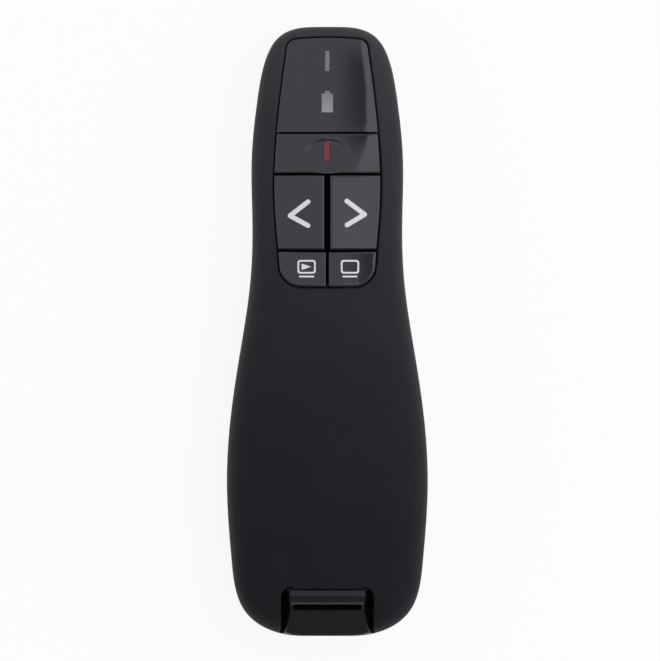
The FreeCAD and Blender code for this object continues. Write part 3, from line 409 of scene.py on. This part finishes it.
# Printed shrink sleeve: glossy black film with a copper band at one end, faintly uneven in print.
sleeve, tree, place = new_material("printed_cell_sleeve")
cell_low, cell_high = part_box("battery_left")
band_start = (cell_low.y + cell_high.y) / 2 + copper_band_from_middle
run = add(tree, "ShaderNodeSeparateXYZ", {"Vector": place}).outputs["Y"]
on_band = add(
    tree,
    "ShaderNodeMapRange",
    {"Value": run, "From Min": band_start, "From Max": band_start + copper_band_edge},
)
print_grain = add(tree, "ShaderNodeTexNoise", {"Vector": place, "Scale": 1 / sleeve_grain})
print_tone = add(
    tree,
    "ShaderNodeMix",
    {"Factor": on_band, low_colour: linear(sleeve_tones[0]), high_colour: linear(sleeve_tones[1])},
    data_type="RGBA",
)
print_gloss = add(
    tree,
    "ShaderNodeMapRange",
    {"Value": print_grain, "To Min": sleeve_roughness[0], "To Max": sleeve_roughness[1]},
)
print_relief = add(
    tree,
    "ShaderNodeBump",
    {"Height": print_grain, "Distance": sleeve_relief, "Strength": sleeve_relief_share},
)
finish_material(tree, print_tone, print_gloss, print_relief, Metallic=0.3)
# Nickel plate on spring steel: bright warm grey, with drawing scratches that break the shine.
plated = grained_material(
    "nickel_plated_steel",
    tones=("b4b2ac", "c9c7c0"),
    grain=0.25 * MM,
    roughness=(0.22, 0.34),
    depth=0.002 * MM,
    detail=4.0,
    Metallic=1.0,
)
for name in ("battery_left", "battery_right"):
    skin(name, sleeve)
for name in ("battery_spring_tail", "battery_spring_nose"):
    skin(name, plated, spring_crease_angle)
for name in ("bridge_contact", "positive_contact", "negative_contact"):
    skin(name, plated)


# Boards and what is soldered to them
# Glass epoxy boards under black solder mask, with the tracks faintly raised beneath it.
# Black moulded chips, a plated crystal can and a printed aerial track sit on them.
mask_black = "0d0f0e"
mask_track = "171a18"
mask_roughness = (0.22, 0.32)
mask_weave = 0.4 * MM
track_pitch = 0.9 * MM
track_width_share = 0.12
track_height = 0.02 * MM
track_relief_share = 0.4


def paint(node, material):
    """Gives a CAD solid whose shape is right its finish."""
    slots = frame["nodes"][node].data.materials
    slots.clear()
    slots.append(material)


# Solder mask over copper: a dark wet-looking coat, with the tracks as paler raised lines.
solder_mask, tree, place = new_material("black_solder_mask")
brick_sizes = {"Scale": 1 / track_pitch, "Mortar Size": track_width_share}
brick_colours = {
    "Color1": linear(mask_black), "Color2": linear(mask_black), "Mortar": linear(mask_track)
}
tracks = add(
    tree,
    "ShaderNodeTexBrick",
    {"Vector": place, **brick_sizes, **brick_colours},
    offset=0.5,
)
weave = add(tree, "ShaderNodeTexNoise", {"Vector": place, "Scale": 1 / mask_weave})
mask_gloss = add(
    tree,
    "ShaderNodeMapRange",
    {"Value": weave, "To Min": mask_roughness[0], "To Max": mask_roughness[1]},
)
raised = {"Height": tracks.outputs["Fac"], "Distance": track_height, "Strength": track_relief_share}
finish_material(tree, tracks, mask_gloss, add(tree, "ShaderNodeBump", raised))
# Moulded epoxy: dull near-black with fine pits.
epoxy = grained_material(
    "moulded_epoxy_chip",
    tones=("1a1a1b", "242425"),
    grain=0.15 * MM,
    roughness=(0.5, 0.65),
    depth=0.006 * MM,
)
# Bare copper: a warm shine that tarnish browns in patches.
copper = grained_material(
    "bare_copper_track",
    tones=("b87333", "9c5f2c"),
    grain=0.6 * MM,
    roughness=(0.25, 0.4),
    Metallic=1.0,
)
board_finishes = {
    "main_board": solder_mask,
    "receiver_board": solder_mask,
    "radio_chip": epoxy,
    "receiver_chip": epoxy,
    "crystal": plated,
    "antenna": copper,
}
for name, material in board_finishes.items():
    paint(name, material)


# Switches and the frame that guides the keys
# Five tact switches and the slide switch are black nylon with cream stems.
# The guide frame over them and the receiver's dock are plain mouldings too.
nylon_flow = 0.35 * MM
# Moulded nylon: satin black with faint flow marks.
nylon = grained_material(
    "moulded_nylon",
    tones=("1d1d1e", "28282a"),
    grain=nylon_flow,
    roughness=(0.42, 0.55),
    depth=0.004 * MM,
)
# Dull nylon: almost no shine, and a tone far darker than the other black nylon as painted shade,
# so that the gaps between the keys stay black.
nylon_with_painted_gap_shade = grained_material(
    "black_nylon_with_painted_gap_shade",
    tones=("060607", "0a0a0b"),
    grain=nylon_flow,
    roughness=(0.7, 0.8),
    depth=0.004 * MM,
    Specular_IOR_Level=0.1,
)
# Natural nylon: cream, with a soft waxy sheen.
stem_nylon = grained_material(
    "cream_nylon", tones=("cdc8b8", "dad6c8"), grain=0.5 * MM, roughness=(0.38, 0.5)
)
for name in ("laser", "previous", "next", "slideshow", "blank_screen"):
    skin(name + "_switch", nylon)
    skin(name + "_switch_stem", stem_nylon)
skin("slide_switch", nylon)
skin("slide_switch_lever", stem_nylon)
# The key frame carries the painted shade that fills the gaps between the keys.
skin("key_frame", nylon_with_painted_gap_shade)
skin("receiver_dock", nylon)


# Laser module
# A turned brass barrel holds a glass lens at its nose and the diode at its tail.
# It shines through a small pane that is pressed into the nose of the lower case.
ring_tones = ("b8924a", "c9a55c")
ring_roughness = (0.2, 0.32)
ring_depth = 0.004 * MM
ring_relief_share = 0.5
# The tool rings are drawn as coarse as they need to show. A wave at scale 1 repeats every 0.314.
turning_pitch = 0.2 * MM
wave_pitch = 0.314
# Turned brass: yellow metal whose tool rings stretch the highlight round the barrel.
brass, tree, place = new_material("turned_brass")
rings = add(
    tree,
    "ShaderNodeTexWave",
    {"Vector": place, "Scale": wave_pitch / turning_pitch, "Distortion": 0.4},
    bands_direction="Y",
).outputs["Fac"]
ring_tone = add(
    tree,
    "ShaderNodeMix",
    {"Factor": rings, low_colour: linear(ring_tones[0]), high_colour: linear(ring_tones[1])},
    data_type="RGBA",
)
ring_gloss = add(
    tree,
    "ShaderNodeMapRange",
    {"Value": rings, "To Min": ring_roughness[0], "To Max": ring_roughness[1]},
)
ring_relief = add(
    tree,
    "ShaderNodeBump",
    {"Height": rings, "Distance": ring_depth, "Strength": ring_relief_share},
)
finish_material(tree, ring_tone, ring_gloss, ring_relief, Metallic=1.0)
# Cast acrylic: clear and smooth, with a trace of haze.
pane_glass = grained_material(
    "clear_acrylic_pane",
    tones=("e8eaec", "f2f3f4"),
    grain=0.5 * MM,
    roughness=(0.03, 0.08),
    Transmission_Weight=0.9,
    IOR=1.49,
)
for name in ("laser_barrel", "laser_diode"):
    skin(name, brass)
for name in ("laser_lens", "laser_window"):
    skin(name, pane_glass)


# Indicator window and its lights
# A polished black acrylic window fills the nose end of the key field.
# Two milky light pipes come up through it, over small lights on the board.
window_lean = -0.012
window_degree = 8
key_degree = 5
pipe_tones = ("8d8d92", "6b6b70")
pipe_roughness = (0.22, 0.3)
pipe_cloud = 0.5 * MM
polish_grid = 0.5 * MM
edge_reach = 0.5 * MM
edge_fall = 1.2 * edge_reach
top_facing = 0.85
crown_miss = 0.004 * MM
crown_scale = 10 * MM
above_all = 1.0
rim_directions = 8


def crown_terms(points, middle, degree):
    """The powers of some plan places that a smooth crown is summed from, alike left and right."""
    flat = np.array([(abs(point.x), point.y - middle) for point in points]) / crown_scale
    powers = [(i, j) for i in range(degree + 1) for j in range(degree + 1 - i)]
    return np.stack([flat[:, 0] ** i * flat[:, 1] ** j for i, j in powers], -1)


def inside_rim(shape, points):
    """Those points on a piece's top that lie well in from its rounded rim."""
    ground = BVHTree.FromBMesh(shape)
    turns = [2 * math.pi * i / rim_directions for i in range(rim_directions)]
    ring = [Vector((math.cos(turn), math.sin(turn), 0)) * edge_reach for turn in turns]

    def level_round(point):
        """Whether the top goes on at about the same height on all sides of a point."""
        for offset in ring:
            above = Vector((point.x + offset.x, point.y + offset.y, above_all))
            hit = ground.ray_cast(above, Vector((0, 0, -1)))[0]
            if hit is None or hit.z < point.z - edge_fall:
                return False
        return True

    return [point for point in points if level_round(point)]


def polished_skin(node, material, own_shape, degree=key_degree, pressed=None, grid=polish_grid):
    """A skin whose top is cut to a fine grid and laid on one smooth crown, as polish leaves it.

    The piece's own shape is added to the crown. Pressed is the middle and radius of the area in
    which the solid is dished, and which the crown passes over.
    """
    piece = skin(node, material)
    shape = bmesh.new()
    shape.from_mesh(piece.data)
    shape.normal_update()
    low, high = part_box(node)
    middle = (low.y + high.y) / 2

    def in_dish(point):
        """Whether a point lies in the solid's dished area."""
        return pressed is not None and (point.xy - Vector(pressed[0])).length < pressed[1]

    top = [face for face in shape.faces if face.normal.z > top_facing]
    corners = list(dict.fromkeys(vertex for face in top for vertex in face.verts))
    sure = inside_rim(shape, [vertex.co for vertex in corners if not in_dish(vertex.co)])
    heights = np.array([point.z for point in sure])
    crown = np.linalg.lstsq(crown_terms(sure, middle, degree), heights, rcond=None)[0]

    def crown_at(vertices):
        """Heights of the crown at some vertices."""
        return crown_terms([vertex.co for vertex in vertices], middle, degree) @ crown

    off_crown = crown_at(corners) - np.array([vertex.co.z for vertex in corners])
    off_crown = dict(zip(corners, off_crown))
    for face in top:
        laid = all(abs(off_crown[v]) < crown_miss or in_dish(v.co) for v in face.verts)
        face.material_index = 1 if laid else 0
    cuts = []
    for axis, normal in enumerate((Vector((1, 0, 0)), Vector((0, 1, 0)))):
        first, last = math.ceil(low[axis] / grid), math.floor(high[axis] / grid)
        cuts += [(normal, normal * number * grid) for number in range(first, last + 1)]
    for normal, place in cuts:
        faces = [face for face in shape.faces if face.material_index == 1]
        edges = list(dict.fromkeys(edge for face in faces for edge in face.edges))
        points = list(dict.fromkeys(vertex for face in faces for vertex in face.verts))
        bmesh.ops.bisect_plane(shape, geom=faces + edges + points, plane_co=place, plane_no=normal)
    faces = [face for face in shape.faces if face.material_index == 1]
    laid_vertices = list(dict.fromkeys(vertex for face in faces for vertex in face.verts))
    for vertex, level in zip(laid_vertices, crown_at(laid_vertices)):
        vertex.co.z = level
    for vertex, level in zip(shape.verts, crown_at(shape.verts)):
        if vertex.co.z > level - edge_reach:
            vertex.co.z += own_shape(vertex.co.x, vertex.co.y - middle)
    for face in shape.faces:
        face.material_index = 0
    shape.to_mesh(piece.data)
    shape.free()
    return piece


def window_shape(x, y):
    """The window leans back a little."""
    return window_lean * y


# Polished black plastic: a mirror-like dark surface, with the faint smears of handling.
polished = grained_material(
    "polished_black_acrylic", tones=("0d0d0f", "101012"), grain=6.0 * MM, roughness=(0.05, 0.08)
)
# Milky polycarbonate: a grey glow under the window, paler towards the tail.
milky, tree, place = new_material("milky_light_pipe")
run = add(tree, "ShaderNodeSeparateXYZ", {"Vector": place}).outputs["Y"]
pipe_low, pipe_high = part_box("battery_light_pipe")
fade = add(
    tree,
    "ShaderNodeMapRange",
    {"Value": run, "From Min": pipe_low.y, "From Max": pipe_high.y},
)
cloud = add(tree, "ShaderNodeTexNoise", {"Vector": place, "Scale": 1 / pipe_cloud})
pipe_tone = add(
    tree,
    "ShaderNodeMix",
    {"Factor": fade, low_colour: linear(pipe_tones[0]), high_colour: linear(pipe_tones[1])},
    data_type="RGBA",
)
pipe_gloss = add(
    tree,
    "ShaderNodeMapRange",
    {"Value": cloud, "To Min": pipe_roughness[0], "To Max": pipe_roughness[1]},
)
finish_material(tree, pipe_tone, pipe_gloss)
# Clear resin over a cream chip: pale and glossy.
lamp_resin = grained_material(
    "clear_led_resin", tones=("dcd6b8", "e8e3ca"), grain=0.3 * MM, roughness=(0.12, 0.2)
)
polished_skin("indicator_window", polished, window_shape, degree=window_degree)
for name in ("power_light_pipe", "battery_light_pipe"):
    skin(name, milky)
for name in ("power_led", "battery_led"):
    paint(name, lamp_resin)


# Keys and their printed signs
# Five polished ABS keys under the thumb: laser on top, back and forward, then the screen pair.
# The signs are pad printed in white, and the laser key carries a red bar.
laser_low, laser_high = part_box("laser_button")
laser_half = (laser_high.y - laser_low.y) / 2
laser_middle = (0.0, (laser_low.y + laser_high.y) / 2)
laser_lean = -0.008
laser_pillow = 0.03 * MM
laser_grid = 0.22 * MM
pressed_dish = (laser_middle, 4.3 * MM)
thumb_dish = (4.6 * MM, 2.95 * MM)
thumb_dish_depth = 0.15 * MM
thumb_dish_power = 8
page_lean = 0.03
small_key_lean = -0.055
small_key_flat = 0.0065 / MM
small_key_level = 6.0 * MM


def laser_key_shape(x, y):
    """The laser key swells a little, and has a shallow oval dish for the thumb."""
    off = min(1.0, math.hypot(x / thumb_dish[0], y / thumb_dish[1]))
    dip = thumb_dish_depth * (1 - off**thumb_dish_power) ** 2
    return laser_lean * y - laser_pillow * (y / laser_half) ** 2 - dip


def page_key_shape(x, y):
    """The paging keys lean towards the tail."""
    return page_lean * y


def small_key_shape(x, y):
    """The small keys lean towards the nose, and are flatter across than the case."""
    return small_key_lean * y + small_key_flat * (x**2 - small_key_level**2)


key_pieces = {
    "laser": polished_skin(
        "laser_button", polished, laser_key_shape, pressed=pressed_dish, grid=laser_grid
    )
}
for name in ("previous", "next"):
    key_pieces[name] = polished_skin(name + "_button", polished, page_key_shape)
for name in ("slideshow", "blank_screen"):
    key_pieces[name] = polished_skin(name + "_button", polished, small_key_shape)

# Pad printing ink: flat, slightly chalky white or deep red, with the grain of its screen.
ink_screen = 0.25 * MM
ink_relief = 0.002 * MM
white_ink = grained_material(
    "white_pad_print",
    tones=("d6d6d9", "e0e0e3"),
    grain=ink_screen,
    roughness=(0.35, 0.45),
    depth=ink_relief,
    strength=0.4,
)
red_ink = grained_material(
    "red_pad_print",
    tones=("6a1216", "741619"),
    grain=ink_screen,
    roughness=(0.3, 0.4),
    depth=ink_relief,
    strength=0.4,
)

# Places and sizes of the signs in millimetres, across and along from the remote's middle.
ink_height = 0.012 * MM
ink_depth = 0.03 * MM
ink_grid = 0.4 * MM
back_chevron = ((-3.65, 24.55), (-7.05, 21.9), (-3.65, 20.03))
forward_chevron = ((3.69, 24.68), (7.07, 22.15), (3.74, 20.16))
chevron_half_width = 0.44
screen_row, screen_across, screen_along = 12.24, 3.46, 2.58
screen_line = 0.32
screen_round = 0.5
stand_row, stand_across, stand_along = 10.4, 2.85, 0.32
stand_round = stand_along / 2.2
arrow_back, arrow_tip, arrow_half = -0.95, 0.84, 0.61
laser_bar_place = (-0.09, 34.15)
laser_bar_across, laser_bar_along = 0.88, 3.6
laser_bar_round = 0.1
arc_steps = 10
corner_steps = 6


def arc(centre, radius, start, end, steps=arc_steps):
    """Points along an arc in the plan, angles in degrees."""
    angles = [math.radians(start + (end - start) * i / steps) for i in range(steps + 1)]
    return [(centre[0] + radius * math.cos(a), centre[1] + radius * math.sin(a)) for a in angles]


def stroke(first, corner, last, half_width):
    """Outline of a line that turns once at a corner, with round ends and a round outer tip."""
    first, corner, last = (Vector(point) for point in (first, corner, last))
    into, out = (corner - first).normalized(), (last - corner).normalized()
    turn = 1 if into.x * out.y - into.y * out.x > 0 else -1
    heading_in = math.degrees(math.atan2(into.y, into.x))
    heading_out = math.degrees(math.atan2(out.y, out.x))
    swing = (heading_out - heading_in + 180) % 360 - 180
    side_in = heading_in - 90 * turn
    side_out = side_in + swing
    outline = arc(first, half_width, side_in - 180 * turn, side_in)
    outline += arc(corner, half_width, side_in, side_out)
    outline += arc(last, half_width, side_out, side_out + 180 * turn)
    bend = math.radians(180 - abs(swing)) / 2
    inner = (out - into).normalized() * (half_width / math.sin(bend))
    outline.append((corner.x + inner.x, corner.y + inner.y))
    return outline


def rounded_box(centre, across, along, radius):
    """Outline of a rectangle with rounded corners."""
    outline = []
    for x_side, y_side, start in ((1, 1, 0), (-1, 1, 90), (-1, -1, 180), (1, -1, 270)):
        x = centre[0] + x_side * (across / 2 - radius)
        y = centre[1] + y_side * (along / 2 - radius)
        outline += arc((x, y), radius, start, start + 90, corner_steps)
    return outline


def printed_sign(name, loops, carrier, body, ink):
    """Lays closed outlines, in millimetres, on a carrier's top as a thin layer of ink."""
    drawing = bpy.data.curves.new(name, "CURVE")
    drawing.dimensions = "2D"
    drawing.fill_mode = "BOTH"
    for loop in loops:
        line = drawing.splines.new("POLY")
        line.points.add(len(loop) - 1)
        for point, (x, y) in zip(line.points, loop):
            point.co = (x * MM, y * MM, 0, 1)
        line.use_cyclic_u = True
    drawn = bpy.data.objects.new(name, drawing)
    scene.collection.objects.link(drawn)
    bpy.context.view_layer.update()
    layer = bpy.data.meshes.new_from_object(drawn)
    bpy.data.objects.remove(drawn)
    sheet = bmesh.new()
    sheet.from_mesh(layer)
    spans = [[vertex.co[axis] for vertex in sheet.verts] for axis in (0, 1)]
    for normal, places in zip((Vector((1, 0, 0)), Vector((0, 1, 0))), spans):
        cut = math.ceil(min(places) / ink_grid) * ink_grid
        while cut < max(places):
            everything = sheet.verts[:] + sheet.edges[:] + sheet.faces[:]
            bmesh.ops.bisect_plane(sheet, geom=everything, plane_co=normal * cut, plane_no=normal)
            cut += ink_grid
    ground = BVHTree.FromPolygons(
        [vertex.co for vertex in carrier.data.vertices],
        [face.vertices for face in carrier.data.polygons],
    )
    for vertex in sheet.verts:
        above = Vector((vertex.co.x, vertex.co.y, above_all))
        vertex.co.z = ground.ray_cast(above, Vector((0, 0, -1)))[0].z + ink_height
    for face in sheet.faces:
        face.normal_update()
        if face.normal.z < 0:
            face.normal_flip()
    rim = [edge for edge in sheet.edges if edge.is_boundary]
    for part in bmesh.ops.extrude_edge_only(sheet, edges=rim)["geom"]:
        if isinstance(part, bmesh.types.BMVert):
            part.co.z -= ink_depth
    bmesh.ops.holes_fill(sheet, edges=[edge for edge in sheet.edges if edge.is_boundary], sides=0)
    bmesh.ops.recalc_face_normals(sheet, faces=sheet.faces)
    sheet.to_mesh(layer)
    sheet.free()
    layer.materials.clear()
    layer.materials.append(ink)
    piece = bpy.data.objects.new(name, layer)
    scene.collection.objects.link(piece)
    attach(piece, body)


back_outline = stroke(*back_chevron, chevron_half_width)
forward_outline = stroke(*forward_chevron, chevron_half_width)
printed_sign("back_sign", [back_outline], key_pieces["previous"], "previous_key", white_ink)
printed_sign("forward_sign", [forward_outline], key_pieces["next"], "next_key", white_ink)
for name, x, playing in (("slideshow", -3.91, True), ("blank_screen", 4.29, False)):
    middle = (x, screen_row)
    inner_across, inner_along = screen_across - 2 * screen_line, screen_along - 2 * screen_line
    outlines = [
        rounded_box(middle, screen_across, screen_along, screen_round),
        rounded_box(middle, inner_across, inner_along, screen_round - screen_line / 2),
        rounded_box((x, stand_row), stand_across, stand_along, stand_round),
    ]
    if playing:
        arrow_ends = [(x + arrow_back, screen_row + side * arrow_half) for side in (1, -1)]
        outlines.append(arrow_ends + [(x + arrow_tip, screen_row)])
    printed_sign(name + "_sign", outlines, key_pieces[name], name + "_key", white_ink)
laser_bar = rounded_box(laser_bar_place, laser_bar_across, laser_bar_along, laser_bar_round)
printed_sign("laser_sign", [laser_bar], key_pieces["laser"], "laser_key", red_ink)


# Power slide
# A ribbed nylon knob in a recess on the right flank, moved by the thumb to switch on.
# It is moulded in one piece and clips over the lever of the slide switch.
skin("power_slider", nylon)


# Receiver
# Two halves of moulded ABS close round its board, with a bright plug at the nose end.
# Its tail end is a thumb piece with a rolled ridge and a nail groove, flush with the case.
cap_tones = ("0f0f11", "131315")
cap_spark = 0.3 * MM
cap_roughness = (0.24, 0.3)
cap_relief = 0.002 * MM
cap_relief_share = 0.5
end_face_depth = 0.5 * MM
end_face_matt = 0.45
nose_round = 1.0 * MM
crisp_share = 0.7
ridge_length = 3.1 * MM
ridge_swell = 0.045

# Moulded ABS: black with a low polish that catches the ridge, and a matt end face at the tail.
moulded, tree, place = new_material("moulded_black_abs")
cap_low, cap_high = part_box("receiver_cap")
spark = add(tree, "ShaderNodeTexNoise", {"Vector": place, "Scale": 1 / cap_spark, "Detail": 3.0})
run = add(tree, "ShaderNodeSeparateXYZ", {"Vector": place}).outputs["Y"]
at_end = add(
    tree,
    "ShaderNodeMapRange",
    {
        "Value": run,
        "From Min": cap_low.y + end_face_depth / 2,
        "From Max": cap_low.y + end_face_depth,
        "To Min": end_face_matt,
        "To Max": 0.0,
    },
)
polish = add(
    tree,
    "ShaderNodeMapRange",
    {"Value": spark, "To Min": cap_roughness[0], "To Max": cap_roughness[1]},
)
cap_tone = add(
    tree,
    "ShaderNodeMix",
    {"Factor": spark, low_colour: linear(cap_tones[0]), high_colour: linear(cap_tones[1])},
    data_type="RGBA",
)
cap_gloss = add(tree, "ShaderNodeMath", {0: polish, 1: at_end}, operation="ADD")
spark_relief = add(
    tree,
    "ShaderNodeBump",
    {"Height": spark, "Distance": cap_relief, "Strength": cap_relief_share},
)
finish_material(tree, cap_tone, cap_gloss, spark_relief, Specular_IOR_Level=0.28)
# Moulded plug tongue: clean white, with a soft sheen.
tongue_white = grained_material(
    "white_plug_tongue", tones=("dedede", "e9e9e9"), grain=0.5 * MM, roughness=(0.35, 0.45)
)
# Gold flash on copper alloy: warm yellow, with wipe marks.
gold = grained_material(
    "gold_flashed_contact",
    tones=("c79a45", "d9b060"),
    grain=0.3 * MM,
    roughness=(0.2, 0.3),
    Metallic=1.0,
)
# The thumb piece's nose edge is crisper and its ridge a little wider than the solid's.
cap = skin("receiver_cap", moulded)
ridge_end = cap_high.y - ridge_length
for vertex in cap.data.vertices:
    into_round = (vertex.co.y - cap_high.y) / nose_round + 1
    if into_round > 0 and vertex.co.z > cap_high.z - 2 * nose_round:
        rounded_off = 1 - math.sqrt(max(0, 1 - into_round**2))
        vertex.co.z += crisp_share * nose_round * rounded_off
    past_ridge = min(1, max(0, (ridge_end - vertex.co.y) / ridge_length))
    vertex.co.x *= 1 + ridge_swell * (1 - past_ridge)
skin("receiver_upper_shell", moulded)
skin("receiver_lower_shell", moulded)
skin("usb_plug_shell", plated)
skin("usb_tongue", tongue_white)
paint("usb_contacts", gold)


# Screws
# Self-tapping pan-head screws in black zinc, four from below for the case and three for the board.
# Each has a rolled thread and a pressed cross recess, and turns home in a moulded pilot hole.
case_screw = {"Shank Radius": 1.0 * MM, "Head Radius": 1.75 * MM, "Head Height": 1.3 * MM}
case_screw["Pitch"] = 0.9 * MM
board_screw = {"Shank Radius": 0.8 * MM, "Head Radius": 1.45 * MM, "Head Height": 0.9 * MM}
board_screw["Pitch"] = 0.7 * MM
thread_depth_share = 0.3
thread_length_share = 0.92
thread_steps = 14
thread_sides = 3
recess_width_share = 0.32
recess_length_share = 1.15
recess_depth_share = 0.6
round_sides = 32
micrometre = 0.001 * MM
# Black zinc on steel: dark, half-bright metal that is worn paler in places.
zinc = grained_material(
    "black_zinc_screw",
    tones=("2b2b2e", "4a4a4e"),
    grain=0.2 * MM,
    roughness=(0.3, 0.45),
    Metallic=0.9,
)

tree = bpy.data.node_groups.new("pan_head_screw", "GeometryNodeTree")
screw_tree = tree
tree.interface.new_socket("Seats", in_out="INPUT", socket_type="NodeSocketGeometry")
size_sockets = {
    name: tree.interface.new_socket(name, in_out="INPUT", socket_type="NodeSocketFloat")
    for name in ("Shank Radius", "Head Radius", "Head Height", "Length", "Pitch", "Turn")
}
tree.interface.new_socket("Geometry", in_out="OUTPUT", socket_type="NodeSocketGeometry")
given = tree.nodes.new("NodeGroupInput").outputs


def stood(mesh, middle):
    """A part of the screw, stood with its middle at a height on the screw's axis."""
    offset = add(tree, "ShaderNodeCombineXYZ", {"Z": middle})
    return add(tree, "GeometryNodeTransform", {"Geometry": mesh, "Translation": offset})


def turned_rod(radius, depth, middle):
    """A round bar, stood with its middle at a height."""
    rod_sizes = {"Vertices": round_sides, "Radius": radius, "Depth": depth}
    return stood(add(tree, "GeometryNodeMeshCylinder", rod_sizes), middle)


shares = {
    "root_radius": (given["Shank Radius"], 1 - thread_depth_share),
    "thread_depth": (given["Shank Radius"], thread_depth_share),
    "head_middle": (given["Head Height"], -0.5),
    "head_top": (given["Head Height"], -1.0),
    "recess_length": (given["Head Radius"], recess_length_share),
    "recess_width": (given["Head Radius"], recess_width_share),
    "recess_depth": (given["Head Height"], 2 * recess_depth_share),
    "shank_middle": (given["Length"], 0.5),
    "thread_length": (given["Length"], thread_length_share),
}
part_sizes = {
    name: add(tree, "ShaderNodeMath", {0: size, 1: share}, operation="MULTIPLY")
    for name, (size, share) in shares.items()
}
head = turned_rod(given["Head Radius"], given["Head Height"], part_sizes["head_middle"])
pressed = add(tree, "GeometryNodeMeshBoolean", {"Mesh 1": head}, operation="DIFFERENCE")
for across, along in (("recess_length", "recess_width"), ("recess_width", "recess_length")):
    bar_sides = {
        "X": part_sizes[across], "Y": part_sizes[along], "Z": part_sizes["recess_depth"]
    }
    bar_size = add(tree, "ShaderNodeCombineXYZ", bar_sides)
    bar = stood(add(tree, "GeometryNodeMeshCube", {"Size": bar_size}), part_sizes["head_top"])
    tree.links.new(bar.outputs["Geometry"], pressed.inputs["Mesh 2"])
shank = turned_rod(part_sizes["root_radius"], given["Length"], part_sizes["shank_middle"])
turns = add(tree, "ShaderNodeMath", {0: given["Length"], 1: given["Pitch"]}, operation="DIVIDE")
helix_sizes = {
    "Resolution": thread_steps,
    "Rotations": turns,
    "Start Radius": part_sizes["root_radius"],
    "End Radius": part_sizes["root_radius"],
    "Height": part_sizes["thread_length"],
}
helix = add(tree, "GeometryNodeCurveSpiral", helix_sizes)
flank_sizes = {"Resolution": thread_sides, "Radius": part_sizes["thread_depth"]}
flank = add(tree, "GeometryNodeCurvePrimitiveCircle", flank_sizes)
thread = add(
    tree, "GeometryNodeCurveToMesh", {"Curve": helix, "Profile Curve": flank, "Fill Caps": True}
)
whole = add(tree, "GeometryNodeJoinGeometry")
for part in (pressed.outputs["Mesh"], shank.outputs["Geometry"], thread.outputs["Mesh"]):
    tree.links.new(part, whole.inputs["Geometry"])
spin = add(tree, "ShaderNodeCombineXYZ", {"X": given["Turn"]})
placed = add(
    tree,
    "GeometryNodeInstanceOnPoints",
    {"Points": given["Seats"], "Instance": whole, "Rotation": spin},
)
real = add(tree, "GeometryNodeRealizeInstances", {"Geometry": placed})
finished = add(tree, "GeometryNodeSetMaterial", {"Geometry": real, "Material": zinc})
add(tree, "NodeGroupOutput", {"Geometry": finished})


def plain_screws(node, head_height, heads_down):
    """Seats of a node's plain solid screws, in lists by their length in whole micrometres."""
    solids = bmesh.new()
    solids.from_mesh(frame["nodes"][node].data)
    bmesh.ops.remove_doubles(solids, verts=solids.verts, dist=weld_distance)
    loose, seats = set(solids.verts), {}
    for first in solids.verts:
        if first not in loose:
            continue
        solid, edge = [], [first]
        loose.discard(first)
        while edge:
            vertex = edge.pop()
            solid.append(vertex)
            near = {joint.other_vert(vertex) for joint in vertex.link_edges} & loose
            loose -= near
            edge += near
        spans = [[vertex.co[axis] for vertex in solid] for axis in range(3)]
        x, y = ((min(span) + max(span)) / 2 for span in spans[:2])
        low, high = min(spans[2]), max(spans[2])
        seat = low + head_height if heads_down else high - head_height
        micrometres = round((high - low - head_height) / micrometre)
        seats.setdefault(micrometres, []).append((x, y, seat))
    solids.free()
    return seats


def driven_screws(node, sizes, heads_down):
    """Screws in place of a node's plain solids, each on its own seat and as long as its solid."""
    seats = plain_screws(node, sizes["Head Height"], heads_down)
    driven = bmesh.new()
    for micrometres, places in sorted(seats.items()):
        points = bpy.data.meshes.new(node + "_seats")
        points.from_pydata(sorted(places), [], [])
        maker = bpy.data.objects.new(node + "_seats", points)
        scene.collection.objects.link(maker)
        screws = maker.modifiers.new("screws", "NODES")
        screws.node_group = screw_tree
        turn = 0.0 if heads_down else math.pi
        own_sizes = {**sizes, "Length": micrometres * micrometre, "Turn": turn}
        for name, value in own_sizes.items():
            screws[size_sockets[name].identifier] = value
        bpy.context.view_layer.update()
        made = maker.evaluated_get(bpy.context.evaluated_depsgraph_get())
        driven.from_mesh(bpy.data.meshes.new_from_object(made))
        maker.modifiers.remove(screws)
        bpy.data.objects.remove(maker)
    mesh = bpy.data.meshes.new(node + "_threaded")
    driven.to_mesh(mesh)
    driven.free()
    mesh.materials.append(zinc)
    mesh.shade_smooth()
    mesh.set_sharp_from_angle(angle=math.radians(crease_angle))
    piece = bpy.data.objects.new(node + "_threaded", mesh)
    scene.collection.objects.link(piece)
    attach(piece, frame["nodes"][node]["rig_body"])
    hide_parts(node)


driven_screws("case_screws", case_screw, True)
driven_screws("board_screws", board_screw, False)
